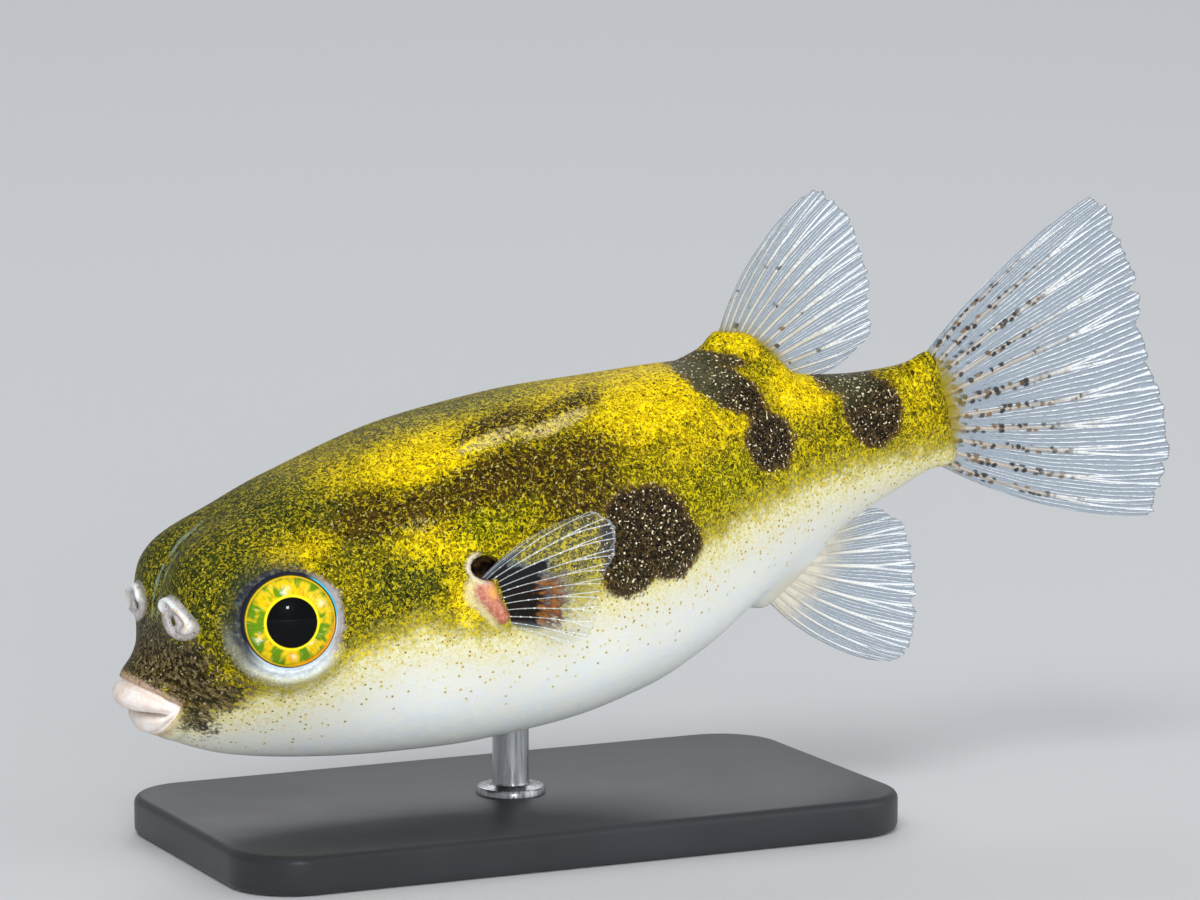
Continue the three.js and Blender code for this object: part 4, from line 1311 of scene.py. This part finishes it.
def median_fin_material(name, settings, fin):
    """Clear fins of the midline: fleshy at the root, tinted rays with dark dots along them."""
    material, nodes, (now, cover, height) = start_fin_material(name, settings, settings.cover, 0.85,
                                                               fin["lines"], 1.0)
    s, r, length = nodes.split(nodes.attribute("fan_place", "Vector"))
    wander = nodes.noise(nodes.join(s * 0.8, length, 0.0), 1.6, 2.0)
    drift = wander - 0.5
    inner = (r + drift * 0.7).step(0.82, 0.4)
    now = now.coat(fin["ray_tint"], nodes.attribute("ray").step(0.25, 0.6), inner, 0.7)
    beside = nodes.attribute("beside_ray")
    own = s.floor() * 3.7
    dot_place = nodes.join(beside * 3.0, length * 2.3, own)
    chance, tone, _ = nodes.split(nodes.cells(dot_place, 1.0, "Color"))
    often = nodes.noise(nodes.join(own, length * 0.5, 2.0), 1.0, 1.0).step(0.3, 0.6, 0.35, 1.0) * fin["dots"]
    band = (abs(beside) + r * 0.16).step(0.36, 0.24)
    dot = nodes.cells(dot_place, 1.0).step(0.52, 0.38) * nodes.math("LESS_THAN", chance, often)
    mark = band * dot * inner * 0.95
    now = now.coat(nodes.blend(tone.step(0.5, 0.9), "1e1814", "7a6242"), mark)
    fleshy = (length + drift * 1.6).step(fin["base_length"], fin["base_length"] * 0.35)
    now = now.coat(fin["base"], fleshy)
    return finished(material, nodes, Base_Color=now, Alpha=cover.most(fleshy.most(mark) * 0.95),
                    Roughness=wander.step(0.3, 0.7, 0.3, 0.45), Coat_Weight=0.1, Coat_Roughness=0.2,
                    Specular_IOR_Level=0.3, Normal=nodes.relief(height, 0.04))


def pectoral_material(settings):
    """A nearly clear fin with beaded rays, black at its root and rusty beyond that below."""
    material, nodes, (now, cover, height) = start_fin_material("pectoral fin", settings, 0.05, 0.42, 1.0, 0.0)
    s, r, length = nodes.split(nodes.attribute("fan_place", "Vector"))
    ray = nodes.attribute("ray")
    wander = nodes.noise(nodes.join(s * 1.3, length, 0.0), 1.3, 2.0, 0.6)
    own = nodes.chance((s + 0.5).floor())
    reach = r + (wander - 0.5) * 0.3 + own * 0.16 - 0.08
    beyond = reach - s.step(2.0, 6.0, 0.42, 0.6)
    between = ray.step(0.75, 0.35)
    black = beyond.step(0.0, -0.1) * r.step(0.02, 0.07) * between
    black = black * s.step(0.7, 1.6, 0.45, 1.0) * s.step(11.6, 9.8)
    red = beyond.step(0.22, 0.08) * s.step(4.5, 6.0) * s.step(11.0, 9.6) * wander.step(0.36, 0.46) * between
    now = now.coat(nodes.blend(wander.step(0.4, 0.62), "5e2408", "8f5a12"), red, 0.95)
    now = now.coat("0a0706", black, 0.98)
    beads = nodes.math("PINGPONG", length + s.floor() * 0.37, 0.28).step(0.07, 0.03)
    some = nodes.noise(nodes.join(s * 2.3, length * 1.9, 4.0), 1.0).step(0.48, 0.56)
    margin = r.step(0.975, 0.99).most(s.step(0.16, 0.08)) * s.step(7.5, 3.5) * 0.35
    pale = (beads * ray.step(0.2, 0.5) * some).most(margin)
    now = now.coat(settings.ray, pale)
    solid = cover.most(black * 0.95 + red * 0.88).most(pale * 0.85)
    return finished(material, nodes, Base_Color=now, Alpha=nodes.math("MINIMUM", solid, 0.96),
                    Roughness=wander.step(0.3, 0.7, 0.25, 0.4), Coat_Weight=0.05, Coat_Roughness=0.2,
                    Specular_IOR_Level=0.2, Normal=nodes.relief(height, 0.03))


class PUFFER_OT_fins(bpy.types.Operator):
    """Build the dorsal, anal, caudal and both pectoral fins"""
    bl_idname = "puffer.fins"
    bl_label = "Fins"

    def execute(self, context):
        settings = context.scene.puffer_fins
        for name, fin in (("dorsal", DORSAL), ("anal", ANAL), ("caudal", CAUDAL)):
            material = median_fin_material(f"{name} fin", settings, fin)
            build_fin(f"{name}_fin_web", fin, f"{name}_fin", material, upright)
        material = pectoral_material(settings)
        for side_name, side in SIDES.items():
            build_fin(f"pectoral_fin_{side_name}_web", PECTORAL, f"pectoral_fin_{side_name}", material,
                      spread_fin(side))
        return {"FINISHED"}


# ================================================================== stand
class PufferStandSettings(bpy.types.PropertyGroup):
    """Finish of the display stand."""
    paint: colour("Paint", "Paint of the base", "202226")
    corner: measure("Corner", "Radius of the base's corners", 0.004, 0.001, 0.01)
    edge: measure("Edge", "Rounding of the base's edges", 0.0005, 0.0001, 0.001)


ROD_FOOT = [(0, -0.2), (2.1, -0.2), (2.1, 0.25), (2.0, 0.4), (1.85, 0.45), (1.3, 0.45), (1.15, 0.55)]
ROD_START = 0.7 * MM  # height of the plain rod's lower end above the base
ROD_INTO_BELLY = 0.5 * MM


def base_material(settings):
    material, nodes = new_material("stand base paint")
    place = nodes.object_place()
    haze = nodes.noise(place, 60.0, 3.0, 0.6)
    tone = nodes.blend(haze.step(0.4, 0.7) * 0.25, settings.paint, "3a3d42")
    return finished(material, nodes, Base_Color=tone, Roughness=haze.step(0.3, 0.7, 0.34, 0.48),
                    Coat_Weight=0.1, Coat_Roughness=0.25,
                    Normal=nodes.relief(nodes.noise(place, 2200.0, 2.0), 0.012))


def rod_material():
    material, nodes = new_material("stand rod steel")
    stretched = nodes.vector("MULTIPLY", nodes.object_place(), (1.0, 1.0, 0.05))
    brushed = nodes.noise(stretched, 6000.0, 3.0, 0.6)
    tone = nodes.blend(brushed.step(0.3, 0.7), "8f9295", "c9cccf")
    return finished(material, nodes, Base_Color=tone, Metallic=1.0,
                    Roughness=brushed.step(0.3, 0.7, 0.22, 0.38), Normal=nodes.relief(brushed, 0.008))


def build_base(settings):
    """A slab whose upright corners are rounded first, and all its other edges after that."""
    low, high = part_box("stand_base")
    piece, mesh, _ = start_piece("stand_base_slab", bpy.ops.mesh.primitive_cube_add, size=1,
                                 location=(low + high) / 2)
    piece.scale = high - low
    bpy.ops.object.transform_apply(location=True, rotation=True, scale=True)
    for width, upright_edges, segments in ((settings.corner, True, 12), (settings.edge, False, 4)):
        bpy.ops.object.mode_set(mode="EDIT")
        bpy.ops.mesh.select_mode(type="EDGE")
        bpy.ops.mesh.select_all(action="DESELECT")
        bpy.ops.object.mode_set(mode="OBJECT")
        for edge in mesh.edges:
            first, second = [mesh.vertices[v].co for v in edge.vertices]
            is_upright = abs(first.z - second.z) > settings.edge
            edge.select = is_upright == upright_edges
        bpy.ops.object.mode_set(mode="EDIT")
        bpy.ops.mesh.bevel(offset=width, segments=segments, affect="EDGES")
        bpy.ops.object.mode_set(mode="OBJECT")
    finish_piece(piece, base_material(settings), "stand_base", "stand_base")
    keep_edges_crisp(piece)


def build_rod():
    """A steel rod with a small foot ring, spun from its outline, its flat top half a millimetre up into the
    belly.
    """
    low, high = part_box("stand_rod")
    centre_x, radius = (low.x + high.x) / 2, (high.x - low.x) / 2
    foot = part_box("stand_base")[1].z
    top = high.z + ROD_INTO_BELLY
    outline = [(r * MM, foot + z * MM) for r, z in ROD_FOOT]
    outline += [(radius, foot + ROD_START), (radius, top), (0, top)]
    piece, mesh, _ = start_piece("stand_rod_steel", bpy.ops.mesh.primitive_plane_add, size=MM)
    mesh.clear_geometry()
    edges = [(i, i + 1) for i in range(len(outline) - 1)]
    mesh.from_pydata([(centre_x + r, 0, z) for r, z in outline], edges, [])
    bpy.ops.object.mode_set(mode="EDIT")
    bpy.ops.mesh.select_all(action="SELECT")
    bpy.ops.mesh.spin(steps=64, angle=2 * math.pi, center=(centre_x, 0, 0), axis=(0, 0, 1))
    bpy.ops.object.mode_set(mode="OBJECT")
    close_surface(merge=1e-6)
    finish_piece(piece, rod_material(), "stand_rod", "stand_rod")
    keep_edges_crisp(piece)


class PUFFER_OT_stand(bpy.types.Operator):
    """Build the stand's painted base and steel rod"""
    bl_idname = "puffer.stand"
    bl_label = "Stand"

    def execute(self, context):
        build_base(context.scene.puffer_stand)
        build_rod()
        return {"FINISHED"}


# ================================================================== stage
class PufferStageSettings(bpy.types.PropertyGroup):
    """Camera, floor and light."""
    azimuth: bpy.props.FloatProperty(name="Azimuth", description="Camera's turn from the left side",
                                     default=math.radians(-25), subtype="ANGLE")
    elevation: bpy.props.FloatProperty(name="Elevation", description="Camera's height above level",
                                       default=math.radians(8), subtype="ANGLE")
    lens: bpy.props.FloatProperty(name="Lens", description="Focal length in millimetres", default=150,
                                  min=20, max=400)
    floor: colour("Floor", "Colour of the floor", "d0d2d4")


SNOUT_TO_CAMERA = (-95.0, -270.3, 54.4)
SENSOR_WIDTH = 36
FLOOR_SIZE = 8.0  # metres
LAMPS_AIM = Vector((0, 0, 0.02))
SKY_COLOUR = (0.93, 0.95, 1.0, 1.0)
SKY_STRENGTH = 0.43
LIGHTS = [  # name, place in metres, size in metres, watts, whether it lights and whether it glints
    ("key light", (-1.1, -1.5, 2.2), 1.3, 34.0, True, False),
    ("fill light", (1.8, -1.6, 0.9), 1.6, 10.0, True, True),
    ("low light", (-0.35, -1.3, 0.03), 0.7, 25.0, True, False),
    ("back light", (0.8, 1.9, 1.7), 1.4, 12.0, True, True),
    ("catch light", (-0.27, -1.5, 0.48), 0.1, 2.5, False, True),
]


def build_camera(settings):
    camera = bpy.data.objects.new("camera", bpy.data.cameras.new("camera"))
    bpy.context.scene.collection.objects.link(camera)
    snout = to_world(np.zeros(3))
    camera.location = Vector(snout) + Vector(SNOUT_TO_CAMERA) * MM
    a, e = settings.azimuth, settings.elevation
    back = Vector((math.sin(a) * math.cos(e), -math.cos(a) * math.cos(e), math.sin(e)))
    camera.rotation_euler = back.to_track_quat("Z", "Y").to_euler()
    camera.data.lens = settings.lens
    camera.data.sensor_width = SENSOR_WIDTH
    camera.data.clip_start = 0.01
    camera.data.clip_end = 50
    bpy.context.scene.camera = camera


def build_floor(settings):
    floor, _, _ = start_piece("floor", bpy.ops.mesh.primitive_plane_add, size=FLOOR_SIZE)
    material, nodes = new_material("floor")
    cloud = nodes.noise(nodes.object_place(), 30.0, 3.0)
    tone = nodes.blend(cloud * 0.08, settings.floor, "cfd0cf")
    finished(material, nodes, Base_Color=tone, Roughness=0.7, Normal=nodes.relief(cloud, 0.05))
    floor.data.materials.append(material)


def build_lights():
    for name, place, size, watts, lights, glints in LIGHTS:
        light = bpy.data.lights.new(name, "AREA")
        light.energy, light.size = watts, size
        lamp = bpy.data.objects.new(name, light)
        bpy.context.scene.collection.objects.link(lamp)
        lamp.location = place
        lamp.visible_diffuse = lights
        lamp.visible_glossy = glints
        lamp.visible_camera = False
        lamp.rotation_euler = (LAMPS_AIM - lamp.location).to_track_quat("-Z", "Y").to_euler()
    world = bpy.data.worlds.new("studio")
    world.use_nodes = True
    sky = world.node_tree.nodes["Background"].inputs
    sky["Color"].default_value = SKY_COLOUR
    sky["Strength"].default_value = SKY_STRENGTH
    bpy.context.scene.world = world


class PUFFER_OT_stage(bpy.types.Operator):
    """Set up the camera, floor and studio lights"""
    bl_idname = "puffer.stage"
    bl_label = "Stage"

    def execute(self, context):
        settings = context.scene.puffer_stage
        build_camera(settings)
        build_floor(settings)
        build_lights()
        context.scene.view_settings.view_transform = "Standard"
        return {"FINISHED"}


# ================================================================== panel and registration
class PUFFER_PT_panel(bpy.types.Panel):
    """Lists the pieces of the model"""
    bl_idname = "PUFFER_PT_panel"
    bl_label = "Pufferfish"
    bl_space_type = "VIEW_3D"
    bl_region_type = "UI"
    bl_category = "Pufferfish"

    def draw(self, context):
        for operator in OPERATORS:
            self.layout.operator(operator.bl_idname)
        for key in SETTINGS:
            box = self.layout.box()
            settings = getattr(context.scene, key)
            for name in settings.bl_rna.properties.keys():
                if name not in ("rna_type", "name"):
                    box.prop(settings, name)


OPERATORS = (PUFFER_OT_stage, PUFFER_OT_skin, PUFFER_OT_eyes, PUFFER_OT_nasal_flaps, PUFFER_OT_fins,
             PUFFER_OT_stand)
SETTINGS = {"puffer_stage": PufferStageSettings, "puffer_skin": PufferSkinSettings,
            "puffer_eyes": PufferEyeSettings, "puffer_fins": PufferFinSettings,
            "puffer_stand": PufferStandSettings}


def register():
    for key, group in SETTINGS.items():
        bpy.utils.register_class(group)
        setattr(bpy.types.Scene, key, bpy.props.PointerProperty(type=group))
    for operator in OPERATORS:
        bpy.utils.register_class(operator)
    bpy.utils.register_class(PUFFER_PT_panel)


def unregister():
    bpy.utils.unregister_class(PUFFER_PT_panel)
    for operator in reversed(OPERATORS):
        bpy.utils.unregister_class(operator)
    for key, group in reversed(SETTINGS.items()):
        delattr(bpy.types.Scene, key)
        bpy.utils.unregister_class(group)


def main():
    register()
    bpy.ops.puffer.stage()
    bpy.ops.puffer.skin()
    bpy.ops.puffer.eyes()
    bpy.ops.puffer.nasal_flaps()
    bpy.ops.puffer.fins()
    bpy.ops.puffer.stand()


if __name__ == "__main__":
    main()
